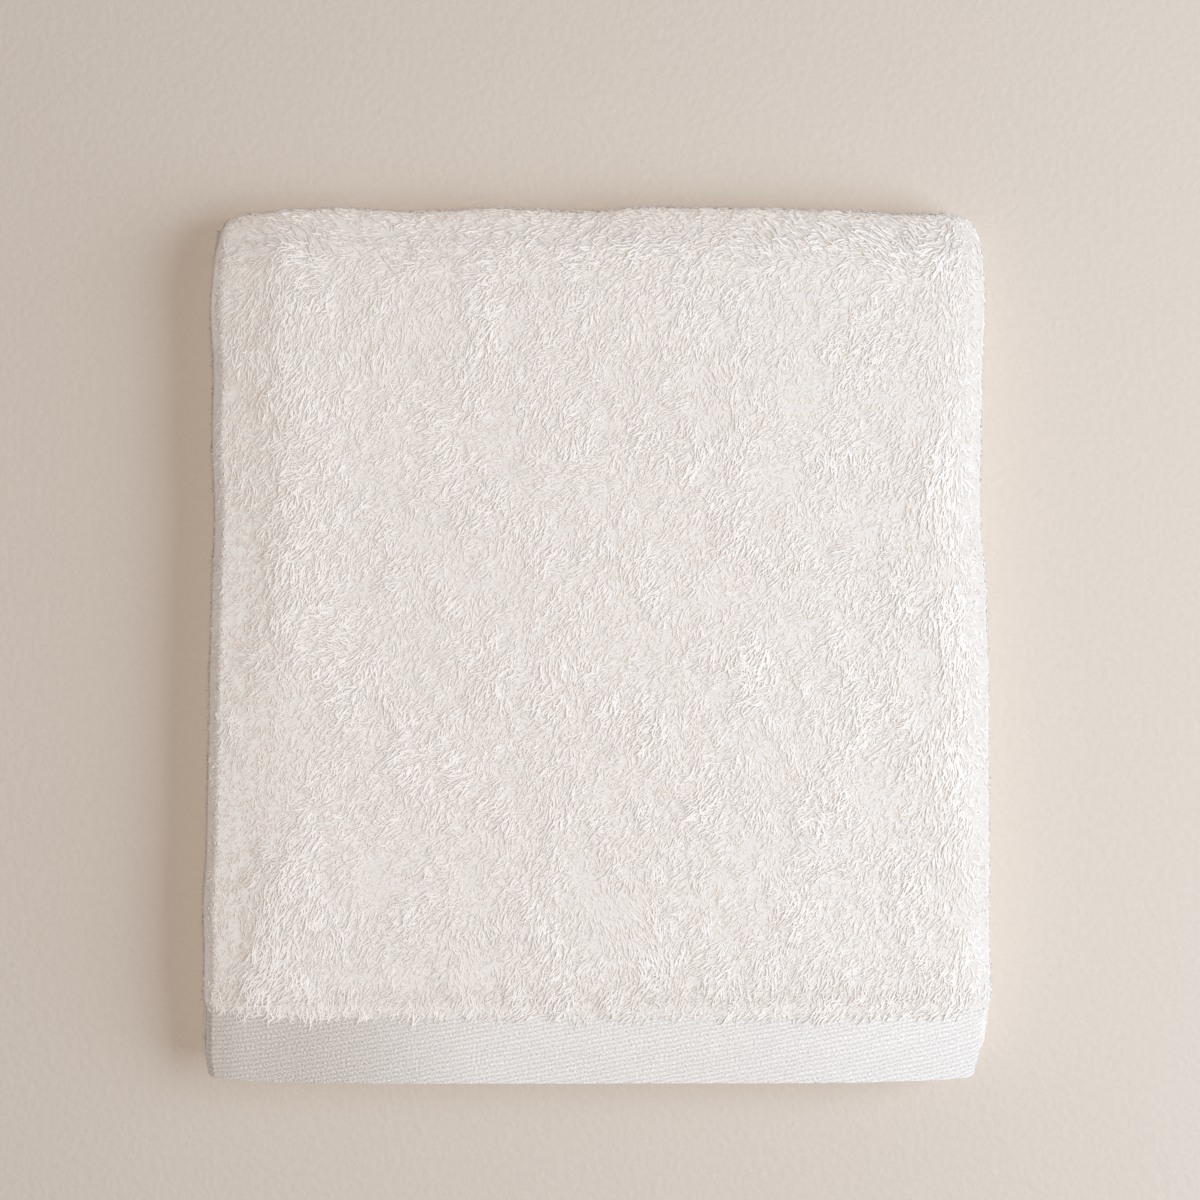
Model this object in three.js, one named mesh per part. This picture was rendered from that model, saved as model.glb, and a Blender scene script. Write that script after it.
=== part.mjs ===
// A plush terry face towel, folded for the shelf and lying face up.
// It is one piece of cloth. Both long sides are turned in behind, so that they meet at the
// middle, and the doubled strip is then folded in three: the inner panel, the front fold,
// the bottom panel, the back fold and the top panel, which ends in the flat woven border.
// Millimetres, +Z up. X runs across the towel, Y from the border to the back fold, and the
// origin is under the middle of the folded towel, on the surface that it lies on.
import * as THREE from "three";

// The towel as it was cut and hemmed.
const TOWEL = { width: 500, widthAtBorder: 492, length: 850 };

// The two kinds of cloth in it: the thickness with its pile, and the space to the next layer.
const TERRY = { thick: 4.2, gap: 0.9 };
const BORDER = { thick: 2.0, gap: 0.7, length: 23, blend: 5 };

// The folded towel from above, and how far the front fold lies behind the border's edge.
const FOLDED = { width: 253, borderWidth: 250, depth: 286, frontInset: 3 };

// Where the two side edges lie at each distance along Y, beside a straight side: + is outwards.
const SIDE_EDGES = [
  { y: -143, left: 2.4, right: -1.6 },
  { y: -136, left: 3.2, right: -0.2 },
  { y: -126, left: 3.1, right: 0.6 },
  { y: -118, left: 2.6, right: 2.0 },
  { y: -104, left: 2.2, right: 1.5 },
  { y: -88, left: 2.7, right: 1.3 },
  { y: -64, left: 1.4, right: 1.4 },
  { y: -15, left: 0.6, right: 1.2 },
  { y: 15, left: -0.2, right: 0.4 },
  { y: 42, left: -1.2, right: -1.6 },
  { y: 66, left: -0.3, right: -1.3 },
  { y: 90, left: -0.8, right: -0.9 },
  { y: 113, left: 0.2, right: 0.1 },
  { y: 143, left: -2.0, right: -0.9 },
];

// How far the border's edge and the back fold draw in at each distance across the towel.
const END_EDGES = [
  { x: -127, front: 5.0, back: 5.2 },
  { x: -123, front: 2.4, back: 3.4 },
  { x: -116, front: 0.8, back: 1.6 },
  { x: -100, front: 0.4, back: 0.6 },
  { x: -84, front: 0.2, back: 0 },
  { x: -64, front: 0, back: 1.2 },
  { x: -34, front: 0, back: 0 },
  { x: -4, front: 0, back: 1.1 },
  { x: 16, front: 0.1, back: -0.4 },
  { x: 55, front: 0.1, back: 0.1 },
  { x: 84, front: 0.3, back: 0.9 },
  { x: 104, front: 0.9, back: 2.3 },
  { x: 114, front: 1.2, back: 1.7 },
  { x: 122, front: 2.3, back: 2.8 },
  { x: 127, front: 5.0, back: 4.6 },
];

// How far from the middle the ends start to draw in, so that the layers between stay straight.
const END_REACH = { start: 63, full: 127 };

// Soft hills and hollows of the stack, in its height: centre, reach and height at the top.
const HILLS = [
  { x: -102, y: 45, reachX: 15, reachY: 75, height: 1.5 },
  { x: -100, y: -80, reachX: 17, reachY: 38, height: 1.3 },
  { x: 106, y: 0, reachX: 14, reachY: 110, height: 1.2 },
  { x: -20, y: 118, reachX: 80, reachY: 13, height: 0.9 },
  { x: -62, y: 62, reachX: 20, reachY: 34, height: -1.0 },
  { x: 78, y: 40, reachX: 18, reachY: 60, height: -0.9 },
  { x: -58, y: -78, reachX: 24, reachY: 22, height: -1.1 },
  { x: 12, y: -30, reachX: 40, reachY: 18, height: 0.8 },
  { x: 30, y: 70, reachX: 26, reachY: 20, height: 0.5 },
  { x: 92, y: -84, reachX: 22, reachY: 16, height: -0.8 },
];

// The shoulders: how steeply the top slopes down to each folded edge, how far in from the edge
// that slope stays straight, and where it has levelled off.
const SHOULDERS = {
  left: { slope: 0.4, straight: 13, reach: 30 },
  right: { slope: 0.36, straight: 8, reach: 22 },
  back: { slope: 0.36, straight: 8, reach: 20 },
};

// The panels never lie exactly on each other: how far each one is off to the side.
const PANEL_SHIFT = { inner: 1.4, bottom: -1.0, top: 0 };

// The border lies lower than the pile, down on the panel below, and its edge hangs a little.
const BORDER_DROP = { level: 3.4, slopeLength: 14, edge: 1.6, edgeLength: 9 };

// How many straight steps each stretch of the cloth has.
const STEPS_ACROSS = { flap: 3, fold: 6, shoulder: 4, face: 8 };
const STEPS_ALONG = { inner: 8, frontFold: 7, bottom: 8, backFold: 10, top: 13, border: 4 };

// The width beside a side fold that has steps of its own, as a share of half the face.
const SHOULDER_SHARE = 0.27;

// A hem's or selvedge's edge is rounded by this share of the cloth's thickness.
const EDGE_ROUND = 0.35;

const mix = (a, b, t) => a + (b - a) * t;
const clamp01 = (t) => Math.min(1, Math.max(0, t));
const smooth = (t) => clamp01(t) ** 2 * (3 - 2 * clamp01(t));

// Reads one column of a table at a place, along a smooth line through its rows.
function readTable(rows, key, at, column) {
  const next = rows.findIndex((row) => row[key] >= at);
  if (next === 0) return rows[0][column];
  if (next < 0) return rows[rows.length - 1][column];
  const [low, high] = [rows[next - 1], rows[next]];
  return mix(low[column], high[column], smooth((at - low[key]) / (high[key] - low[key])));
}

// Levels and fold radii, all to the middle of the cloth, worked out from the layers' pitch.
const pitch = TERRY.thick + TERRY.gap;
const bottomLevel = TERRY.thick / 2;
const frontRadius = 1.5 * pitch;
const backRadius = 2.5 * pitch;
const frontCentreY = -FOLDED.depth / 2 + FOLDED.frontInset + frontRadius + TERRY.thick / 2;
const backCentreY = FOLDED.depth / 2 - backRadius - TERRY.thick / 2;
const topLength = backCentreY + FOLDED.depth / 2;
const bottomLength = backCentreY - frontCentreY;
const innerLength =
  TOWEL.length - topLength - bottomLength - Math.PI * (frontRadius + backRadius);

// How much the cloth is border, from 0 in the pile to 1 in the flat weave, at a distance
// along the towel from the end of its inner panel.
function borderShare(along) {
  const fromEnd = Math.min(along, TOWEL.length - along);
  return smooth((BORDER.length + BORDER.blend / 2 - fromEnd) / BORDER.blend);
}

// How far the top panel's border lies below the level of its pile cloth.
function borderDrop(along) {
  const left = TOWEL.length - along;
  const slope = smooth((BORDER.length + BORDER.blend - left) / BORDER_DROP.slopeLength);
  const edge = clamp01(1 - left / BORDER_DROP.edgeLength) ** 2;
  return BORDER_DROP.level * slope + BORDER_DROP.edge * edge;
}

// The middle of the face cloth at a distance along the towel: its place in the YZ plane, the
// way its face looks, and how far that stretch is off to the side.
function pathAt(along) {
  const frontStart = innerLength;
  const bottomStart = frontStart + Math.PI * frontRadius;
  const backStart = bottomStart + bottomLength;
  const topStart = backStart + Math.PI * backRadius;
  if (along <= frontStart) {
    const y = frontCentreY + innerLength - along;
    const centred = borderShare(along) * (pitch - BORDER.thick - BORDER.gap) / 2;
    return {
      y,
      z: bottomLevel + 2 * frontRadius - centred,
      faceY: 0,
      faceZ: 1,
      shift: PANEL_SHIFT.inner,
    };
  }
  if (along < bottomStart) {
    const turn = (along - frontStart) / frontRadius;
    return {
      y: frontCentreY - frontRadius * Math.sin(turn),
      z: bottomLevel + frontRadius * (1 + Math.cos(turn)),
      faceY: -Math.sin(turn),
      faceZ: Math.cos(turn),
      shift: mix(PANEL_SHIFT.inner, PANEL_SHIFT.bottom, turn / Math.PI),
    };
  }
  if (along <= backStart) {
    return {
      y: frontCentreY + along - bottomStart,
      z: bottomLevel,
      faceY: 0,
      faceZ: -1,
      shift: PANEL_SHIFT.bottom,
    };
  }
  if (along < topStart) {
    const turn = (along - backStart) / backRadius;
    return {
      y: backCentreY + backRadius * Math.sin(turn),
      z: bottomLevel + backRadius * (1 - Math.cos(turn)),
      faceY: Math.sin(turn),
      faceZ: -Math.cos(turn),
      shift: mix(PANEL_SHIFT.bottom, PANEL_SHIFT.top, turn / Math.PI),
    };
  }
  return {
    y: backCentreY - (along - topStart),
    z: bottomLevel + 2 * backRadius - borderDrop(along),
    faceY: 0,
    faceZ: 1,
    shift: PANEL_SHIFT.top,
  };
}

// Distances along the towel where the cloth has a row of points.
function stationsAlong() {
  const borderStart = BORDER.length + BORDER.blend / 2;
  const innerPile = innerLength - borderStart;
  const stretches = [
    { length: BORDER.length - BORDER.blend / 2, steps: 1 },
    { length: BORDER.blend, steps: 2 },
    { length: innerPile, steps: STEPS_ALONG.inner },
    { length: Math.PI * frontRadius, steps: STEPS_ALONG.frontFold },
    { length: bottomLength, steps: STEPS_ALONG.bottom },
    { length: Math.PI * backRadius, steps: STEPS_ALONG.backFold },
    { length: topLength - borderStart, steps: STEPS_ALONG.top },
    { length: BORDER.blend, steps: 3 },
    { length: BORDER.length - BORDER.blend / 2, steps: STEPS_ALONG.border },
  ];
  const stations = [0];
  for (const { length, steps } of stretches) {
    const start = stations[stations.length - 1];
    for (let step = 1; step <= steps; step++) stations.push(start + (length * step) / steps);
  }
  return stations;
}

// Where each point across the towel belongs, from the left selvedge to the right one.
function stationsAcross() {
  const { flap, fold, shoulder, face } = STEPS_ACROSS;
  const edge = SHOULDER_SHARE / 2;
  const stretches = [
    { part: "leftFlap", start: 0, end: 1 - SHOULDER_SHARE, steps: flap },
    { part: "leftFlap", start: 1 - SHOULDER_SHARE, end: 1, steps: shoulder },
    { part: "leftFold", start: 0, end: 1, steps: fold },
    { part: "face", start: 0, end: edge, steps: shoulder },
    { part: "face", start: edge, end: 1 - edge, steps: face },
    { part: "face", start: 1 - edge, end: 1, steps: shoulder },
    { part: "rightFold", start: 0, end: 1, steps: fold },
    { part: "rightFlap", start: 0, end: SHOULDER_SHARE, steps: shoulder },
    { part: "rightFlap", start: SHOULDER_SHARE, end: 1, steps: flap },
  ];
  const stations = [];
  for (const { part, start, end, steps } of stretches)
    for (let i = 0; i < steps; i++) stations.push({ part, share: mix(start, end, i / steps) });
  stations.push({ part: "rightFlap", share: 1 });
  return stations;
}

// One point across the towel, at a distance along it: its place across, its depth behind the
// face cloth, and the way its face side looks there.
function acrossAt({ part, share }, along) {
  const border = borderShare(along);
  const thick = mix(TERRY.thick, BORDER.thick, border);
  const apart = mix(pitch, BORDER.thick + BORDER.gap, border);
  const outer = mix(FOLDED.width, FOLDED.borderWidth, border);
  const cut = mix(TOWEL.width, TOWEL.widthAtBorder, border);
  const radius = apart / 2;
  const halfFace = outer / 2 - radius - thick / 2;
  const flap = cut / 2 - halfFace - Math.PI * radius;
  const turn = Math.PI * share;
  const places = {
    leftFlap: { x: -halfFace + flap * (1 - share), depth: apart, lookX: 0, lookOut: -1 },
    leftFold: {
      x: -halfFace - radius * Math.sin(turn),
      depth: radius * (1 + Math.cos(turn)),
      lookX: -Math.sin(turn),
      lookOut: -Math.cos(turn),
    },
    face: { x: mix(-halfFace, halfFace, share), depth: 0, lookX: 0, lookOut: 1 },
    rightFold: {
      x: halfFace + radius * Math.sin(turn),
      depth: radius * (1 - Math.cos(turn)),
      lookX: Math.sin(turn),
      lookOut: Math.cos(turn),
    },
    rightFlap: { x: halfFace - flap * share, depth: apart, lookX: 0, lookOut: -1 },
  };
  return { ...places[part], thick };
}

// How far a shoulder has sunk at a distance from its edge: a straight slope from the edge,
// which then levels off smoothly.
function sunkAt({ slope, straight, reach }, fromEdge) {
  const t = clamp01((fromEdge - straight) / (reach - straight));
  const levelling = (reach - straight) * (0.5 - t + t ** 3 - t ** 4 / 2);
  return slope * (Math.max(0, straight - fromEdge) + levelling);
}

// The true place of a point of the neatly folded stack, once the stack has settled: its
// outline draws in and out, its shoulders sink, and its top is softly uneven.
function settle(x, y, z) {
  const leftward = clamp01(0.5 - x / FOLDED.width);
  const side =
    x +
    readTable(SIDE_EDGES, "y", y, "right") * (1 - leftward) -
    readTable(SIDE_EDGES, "y", y, "left") * leftward;
  const reached = smooth((Math.abs(y) - END_REACH.start) / (END_REACH.full - END_REACH.start));
  const [front, back] = y < 0 ? [reached, 0] : [0, reached];
  const end =
    y +
    readTable(END_EDGES, "x", x, "front") * front -
    readTable(END_EDGES, "x", x, "back") * back;
  const top = 2 * backRadius + TERRY.thick;
  const sides =
    sunkAt(SHOULDERS.left, FOLDED.width / 2 + x) + sunkAt(SHOULDERS.right, FOLDED.width / 2 - x);
  let share = (1 - sides / top) * (1 - sunkAt(SHOULDERS.back, FOLDED.depth / 2 - y) / top);
  for (const hill of HILLS) {
    const away = ((x - hill.x) / hill.reachX) ** 2 + ((y - hill.y) / hill.reachY) ** 2;
    share += (hill.height / top) * Math.exp(-away);
  }
  return new THREE.Vector3(side, end, z * share);
}

// A point of the cloth: side is +1 on its face, -1 on its back, and 0 in its middle, and the
// edge values push it out past the hem or selvedge by a share of the thickness.
function clothPoint(across, along, side, edgeAcross, edgeAlong) {
  const path = pathAt(along);
  const at = acrossAt(across, along);
  const out = edgeAcross * EDGE_ROUND * at.thick;
  const x = at.x + side * at.lookX * (at.thick / 2) + (at.lookOut < 0 ? out : -out);
  const raised = -at.depth + side * at.lookOut * (at.thick / 2);
  const beyond = edgeAlong * EDGE_ROUND * at.thick;
  const y = path.y + raised * path.faceY - beyond * path.faceZ;
  const z = path.z + raised * path.faceZ;
  return settle(x + path.shift, y, z);
}

// The whole cloth as one closed mesh: a grid of points on its face, the same on its back,
// and a rounded rim round the two hems and the two selvedges.
function makeCloth() {
  const across = stationsAcross();
  const along = stationsAlong();
  const [columns, rows] = [across.length, along.length];
  const points = [];
  const faces = [];
  for (const side of [1, -1])
    for (let row = 0; row < rows; row++)
      for (let column = 0; column < columns; column++)
        points.push(clothPoint(across[column], along[row], side, 0, 0));
  const face = (row, column) => row * columns + column;
  const back = (row, column) => rows * columns + face(row, column);
  for (let row = 0; row + 1 < rows; row++)
    for (let column = 0; column + 1 < columns; column++) {
      const corners = [
        [row, column],
        [row, column + 1],
        [row + 1, column + 1],
        [row + 1, column],
      ];
      const [a, b, c, d] = corners.map((corner) => face(...corner));
      const [e, f, g, h] = corners.map((corner) => back(...corner));
      faces.push([a, c, b], [a, d, c], [e, f, g], [e, g, h]);
    }
  const rim = [];
  for (let column = 0; column + 1 < columns; column++) rim.push([0, column]);
  for (let row = 0; row + 1 < rows; row++) rim.push([row, columns - 1]);
  for (let column = columns - 1; column > 0; column--) rim.push([rows - 1, column]);
  for (let row = rows - 1; row > 0; row--) rim.push([row, 0]);
  const rimStart = points.length;
  for (const [row, column] of rim) {
    const edgeAcross = column === 0 ? 1 : column === columns - 1 ? -1 : 0;
    const edgeAlong = row === 0 ? -1 : row === rows - 1 ? 1 : 0;
    points.push(clothPoint(across[column], along[row], 0, edgeAcross, edgeAlong));
  }
  rim.forEach((here, i) => {
    const j = (i + 1) % rim.length;
    const there = rim[j];
    const [middle, nextMiddle] = [rimStart + i, rimStart + j];
    faces.push(
      [face(...here), face(...there), nextMiddle],
      [face(...here), nextMiddle, middle],
      [middle, nextMiddle, back(...there)],
      [middle, back(...there), back(...here)],
    );
  });
  const geometry = new THREE.BufferGeometry().setFromPoints(points);
  geometry.setIndex(faces.flat());
  geometry.computeVertexNormals();
  return geometry;
}

const terryCotton = new THREE.MeshStandardMaterial({
  name: "terry_cotton",
  color: new THREE.Color(0.87, 0.84, 0.81),
  roughness: 0.95,
  metalness: 0,
});

const towel = new THREE.Mesh(makeCloth(), terryCotton);
towel.name = "towel";

const part = new THREE.Group();
part.name = "folded_face_towel";
part.add(towel);

export default part;
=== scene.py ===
"""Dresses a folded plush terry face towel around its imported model, as a small Blender add-on.

The towel is one cotton cloth with a looped pile on its faces and a flat twill border at each end.
Every point is worked out on the flat cloth first, as across, along and lift: the distance from
the middle of its width, the distance from the end of its inner panel, and the height over the
middle of its thickness. One function then folds and settles that point, so that the ground cloth,
the border's ribs and each strand of pile lie in the same folds. Lengths are in metres, or in
millimetres where a table's comment says so.
"""

import math

import bpy
import numpy as np
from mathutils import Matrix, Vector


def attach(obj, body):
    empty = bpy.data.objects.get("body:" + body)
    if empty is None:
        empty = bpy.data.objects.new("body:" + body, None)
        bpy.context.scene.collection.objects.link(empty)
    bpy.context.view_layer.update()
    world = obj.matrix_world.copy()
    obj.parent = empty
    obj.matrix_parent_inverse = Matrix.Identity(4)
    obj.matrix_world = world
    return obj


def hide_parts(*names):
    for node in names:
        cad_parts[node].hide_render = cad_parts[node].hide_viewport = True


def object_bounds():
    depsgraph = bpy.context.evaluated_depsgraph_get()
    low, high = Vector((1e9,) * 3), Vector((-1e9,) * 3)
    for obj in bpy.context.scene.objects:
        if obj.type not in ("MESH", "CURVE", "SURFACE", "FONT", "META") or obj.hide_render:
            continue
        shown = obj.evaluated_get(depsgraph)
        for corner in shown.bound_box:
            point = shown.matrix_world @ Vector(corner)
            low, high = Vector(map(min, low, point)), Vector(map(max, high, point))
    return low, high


bl_info = {
    "name": "Folded Terry Face Towel",
    "version": (1, 0, 0),
    "blender": (4, 5, 0),
    "location": "3D View > Sidebar > Towel",
    "description": "Builds the cloth, pile and woven border of a folded plush face towel",
    "category": "Add Mesh",
}

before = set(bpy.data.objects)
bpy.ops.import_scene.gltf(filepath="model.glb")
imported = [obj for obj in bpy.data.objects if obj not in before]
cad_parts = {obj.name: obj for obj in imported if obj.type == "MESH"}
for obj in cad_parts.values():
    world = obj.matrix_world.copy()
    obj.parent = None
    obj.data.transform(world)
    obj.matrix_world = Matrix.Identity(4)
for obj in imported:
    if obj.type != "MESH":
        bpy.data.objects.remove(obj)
CAD_BOX = [list(corner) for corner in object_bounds()]

MM = 0.001
SEED = 20
TURN = 2 * math.pi

# The flat cloth: its length from hem to hem, its width, and the width that its borders have.
TOWEL_LENGTH = 850 * MM
TOWEL_WIDTH = 500 * MM
WIDTH_AT_BORDER = 492 * MM

# The folded stack as the frame has it: its width, its depth and how the layers follow.
FOLDED_WIDTH = 253 * MM
FOLDED_BORDER_WIDTH = 250 * MM
FOLDED_DEPTH = 286 * MM
FRONT_INSET = 3 * MM
TERRY_THICK = 4.2 * MM
TERRY_GAP = 0.9 * MM
BORDER_THICK = 2.0 * MM
BORDER_GAP = 0.7 * MM
BORDER_LENGTH = 23 * MM
BORDER_BLEND = 5 * MM

# How far each panel is off to the side, and how the outer border lies down on the stack.
SHIFT_INNER = 1.4 * MM
SHIFT_BOTTOM = -1.0 * MM
DROP_LEVEL = 3.4 * MM
DROP_SLOPE = 14 * MM
DROP_EDGE = 1.6 * MM
DROP_EDGE_LENGTH = 9 * MM

# The shoulders: how steeply the top slopes down to each folded edge, how far in from the edge
# that slope stays straight, and where it has levelled off.
LEFT_SHOULDER = {"slope": 0.40, "straight": 13 * MM, "reach": 30 * MM}
RIGHT_SHOULDER = {"slope": 0.36, "straight": 8 * MM, "reach": 22 * MM}
BACK_SHOULDER = {"slope": 0.36, "straight": 8 * MM, "reach": 20 * MM}

# How far along Y from the middle the ends begin to draw in, and where they are fully drawn in.
END_REACH_START = 63 * MM
END_REACH_FULL = 127 * MM

# The side edges beside a straight side at each distance along Y, in millimetres: + is outwards.
SIDE_EDGES = [
    {"y": -143, "left": 2.4, "right": -1.6},
    {"y": -136, "left": 3.2, "right": -0.2},
    {"y": -126, "left": 3.1, "right": 0.6},
    {"y": -118, "left": 2.6, "right": 2.0},
    {"y": -104, "left": 2.2, "right": 1.5},
    {"y": -88, "left": 2.7, "right": 1.3},
    {"y": -64, "left": 1.4, "right": 1.4},
    {"y": -15, "left": 0.6, "right": 1.2},
    {"y": 15, "left": -0.2, "right": 0.4},
    {"y": 42, "left": -1.2, "right": -1.6},
    {"y": 66, "left": -0.3, "right": -1.3},
    {"y": 90, "left": -0.8, "right": -0.9},
    {"y": 113, "left": 0.2, "right": 0.1},
    {"y": 143, "left": -2.0, "right": -0.9},
]

# How far the border's edge and the back fold draw in across the towel, in millimetres.
END_EDGES = [
    {"x": -127, "front": 2.8, "back": 5.2},
    {"x": -123, "front": 1.2, "back": 3.4},
    {"x": -116, "front": 0.8, "back": 1.6},
    {"x": -100, "front": 0.4, "back": 0.6},
    {"x": -84, "front": 0.2, "back": 0},
    {"x": -64, "front": 0, "back": 1.2},
    {"x": -34, "front": 0, "back": 0},
    {"x": -4, "front": 0, "back": 1.1},
    {"x": 16, "front": 0.1, "back": -0.4},
    {"x": 55, "front": 0.1, "back": 0.1},
    {"x": 84, "front": 0.3, "back": 0.9},
    {"x": 104, "front": 0.9, "back": 2.3},
    {"x": 114, "front": 1.2, "back": 1.7},
    {"x": 122, "front": 1.5, "back": 2.8},
    {"x": 127, "front": 3.0, "back": 4.6},
]

# Soft hills and hollows in the height of the stack, in millimetres.
HILLS = [
    {"x": -102, "y": 45, "reach_x": 15, "reach_y": 75, "height": 1.5},
    {"x": -100, "y": -80, "reach_x": 17, "reach_y": 38, "height": 1.3},
    {"x": 106, "y": 0, "reach_x": 14, "reach_y": 110, "height": 1.2},
    {"x": -20, "y": 118, "reach_x": 80, "reach_y": 13, "height": 0.9},
    {"x": -62, "y": 62, "reach_x": 20, "reach_y": 34, "height": -1.0},
    {"x": 78, "y": 40, "reach_x": 18, "reach_y": 60, "height": -0.9},
    {"x": -58, "y": -78, "reach_x": 24, "reach_y": 22, "height": -1.1},
    {"x": 12, "y": -30, "reach_x": 40, "reach_y": 18, "height": 0.8},
    {"x": 30, "y": 70, "reach_x": 26, "reach_y": 20, "height": 0.5},
    {"x": 92, "y": -84, "reach_x": 22, "reach_y": 16, "height": -0.8},
]

# The way the pile lies where it differs from the rest: the patch's middle and reach, the way
# the tips point in degrees from +X, how long the strands are, how flat they lie, and the turn
# of a whorl. Places and lengths are in millimetres.
NAP_HEADING = 230
NAP_PATCHES = [
    {"x": -39, "y": 132, "rx": 30, "ry": 9, "heading": 178, "long": 4.6, "flat": 0.8, "whorl": 0},
    {"x": -17, "y": 127, "rx": 20, "ry": 7, "heading": 208, "long": 5.0, "flat": 0.8, "whorl": 0},
    {"x": 19, "y": 133, "rx": 11, "ry": 8, "heading": 182, "long": 4.4, "flat": 0.7, "whorl": 0},
    {"x": 72, "y": 132, "rx": 26, "ry": 9, "heading": 148, "long": 4.6, "flat": 0.8, "whorl": 0},
    {"x": 112, "y": 134, "rx": 10, "ry": 8, "heading": 120, "long": 5.6, "flat": 0.5, "whorl": 0},
    {"x": -95, "y": 134, "rx": 22, "ry": 8, "heading": 140, "long": 5.2, "flat": 0.6, "whorl": 0},
    {"x": -105, "y": 98, "rx": 8, "ry": 22, "heading": 262, "long": 4.6, "flat": 0.7, "whorl": 0},
    {"x": -63, "y": 100, "rx": 21, "ry": 13, "heading": 254, "long": 5.0, "flat": 0.8, "whorl": 0},
    {"x": -1, "y": 100, "rx": 6, "ry": 6, "heading": 266, "long": 4.6, "flat": 0.7, "whorl": 0},
    {"x": 42, "y": 84, "rx": 10, "ry": 13, "heading": 280, "long": 4.8, "flat": 0.8, "whorl": 0},
    {"x": -46, "y": 65, "rx": 15, "ry": 16, "heading": 206, "long": 4.6, "flat": 0.8, "whorl": 0},
    {"x": -12, "y": 53, "rx": 18, "ry": 6, "heading": 186, "long": 4.0, "flat": 0.6, "whorl": 0},
    {"x": -86, "y": 6, "rx": 8, "ry": 8, "heading": 184, "long": 4.4, "flat": 0.7, "whorl": 0},
    {"x": 43, "y": 18, "rx": 5, "ry": 5, "heading": 240, "long": 4.2, "flat": 0.7, "whorl": 1},
    {"x": 45, "y": -12, "rx": 6, "ry": 5, "heading": 240, "long": 4.2, "flat": 0.7, "whorl": -1},
    {"x": 69, "y": -59, "rx": 6, "ry": 5, "heading": 240, "long": 4.2, "flat": 0.7, "whorl": 1},
    {"x": 111, "y": -24, "rx": 9, "ry": 6, "heading": 207, "long": 5.2, "flat": 0.9, "whorl": 0},
    {"x": 61, "y": -31, "rx": 13, "ry": 6, "heading": 268, "long": 4.8, "flat": 0.8, "whorl": 0},
    {"x": -51, "y": -39, "rx": 18, "ry": 6, "heading": 207, "long": 4.8, "flat": 0.8, "whorl": 0},
    {"x": -68, "y": -62, "rx": 17, "ry": 6, "heading": 183, "long": 4.2, "flat": 0.6, "whorl": 0},
    {"x": -43, "y": -73, "rx": 11, "ry": 6, "heading": 210, "long": 4.8, "flat": 0.7, "whorl": 0},
    {"x": -98, "y": -90, "rx": 18, "ry": 11, "heading": 256, "long": 6.4, "flat": 0.9, "whorl": 0},
    {"x": -63, "y": -100, "rx": 9, "ry": 9, "heading": 188, "long": 3.4, "flat": 0.3, "whorl": 0},
    {"x": -40, "y": -94, "rx": 7, "ry": 6, "heading": 294, "long": 4.4, "flat": 0.6, "whorl": 0},
    {"x": 11, "y": -89, "rx": 11, "ry": 10, "heading": 294, "long": 4.6, "flat": 0.7, "whorl": 0},
    {"x": 69, "y": -97, "rx": 22, "ry": 6, "heading": 220, "long": 5.2, "flat": 0.8, "whorl": 0},
    {"x": -88, "y": -112, "rx": 34, "ry": 8, "heading": 240, "long": 6.4, "flat": 0.9, "whorl": 0},
    {"x": 20, "y": -114, "rx": 90, "ry": 7, "heading": 240, "long": 5.0, "flat": 0.7, "whorl": 0},
    {"x": 118, "y": 20, "rx": 9, "ry": 120, "heading": 264, "long": 5.0, "flat": 0.9, "whorl": 0},
]

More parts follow.
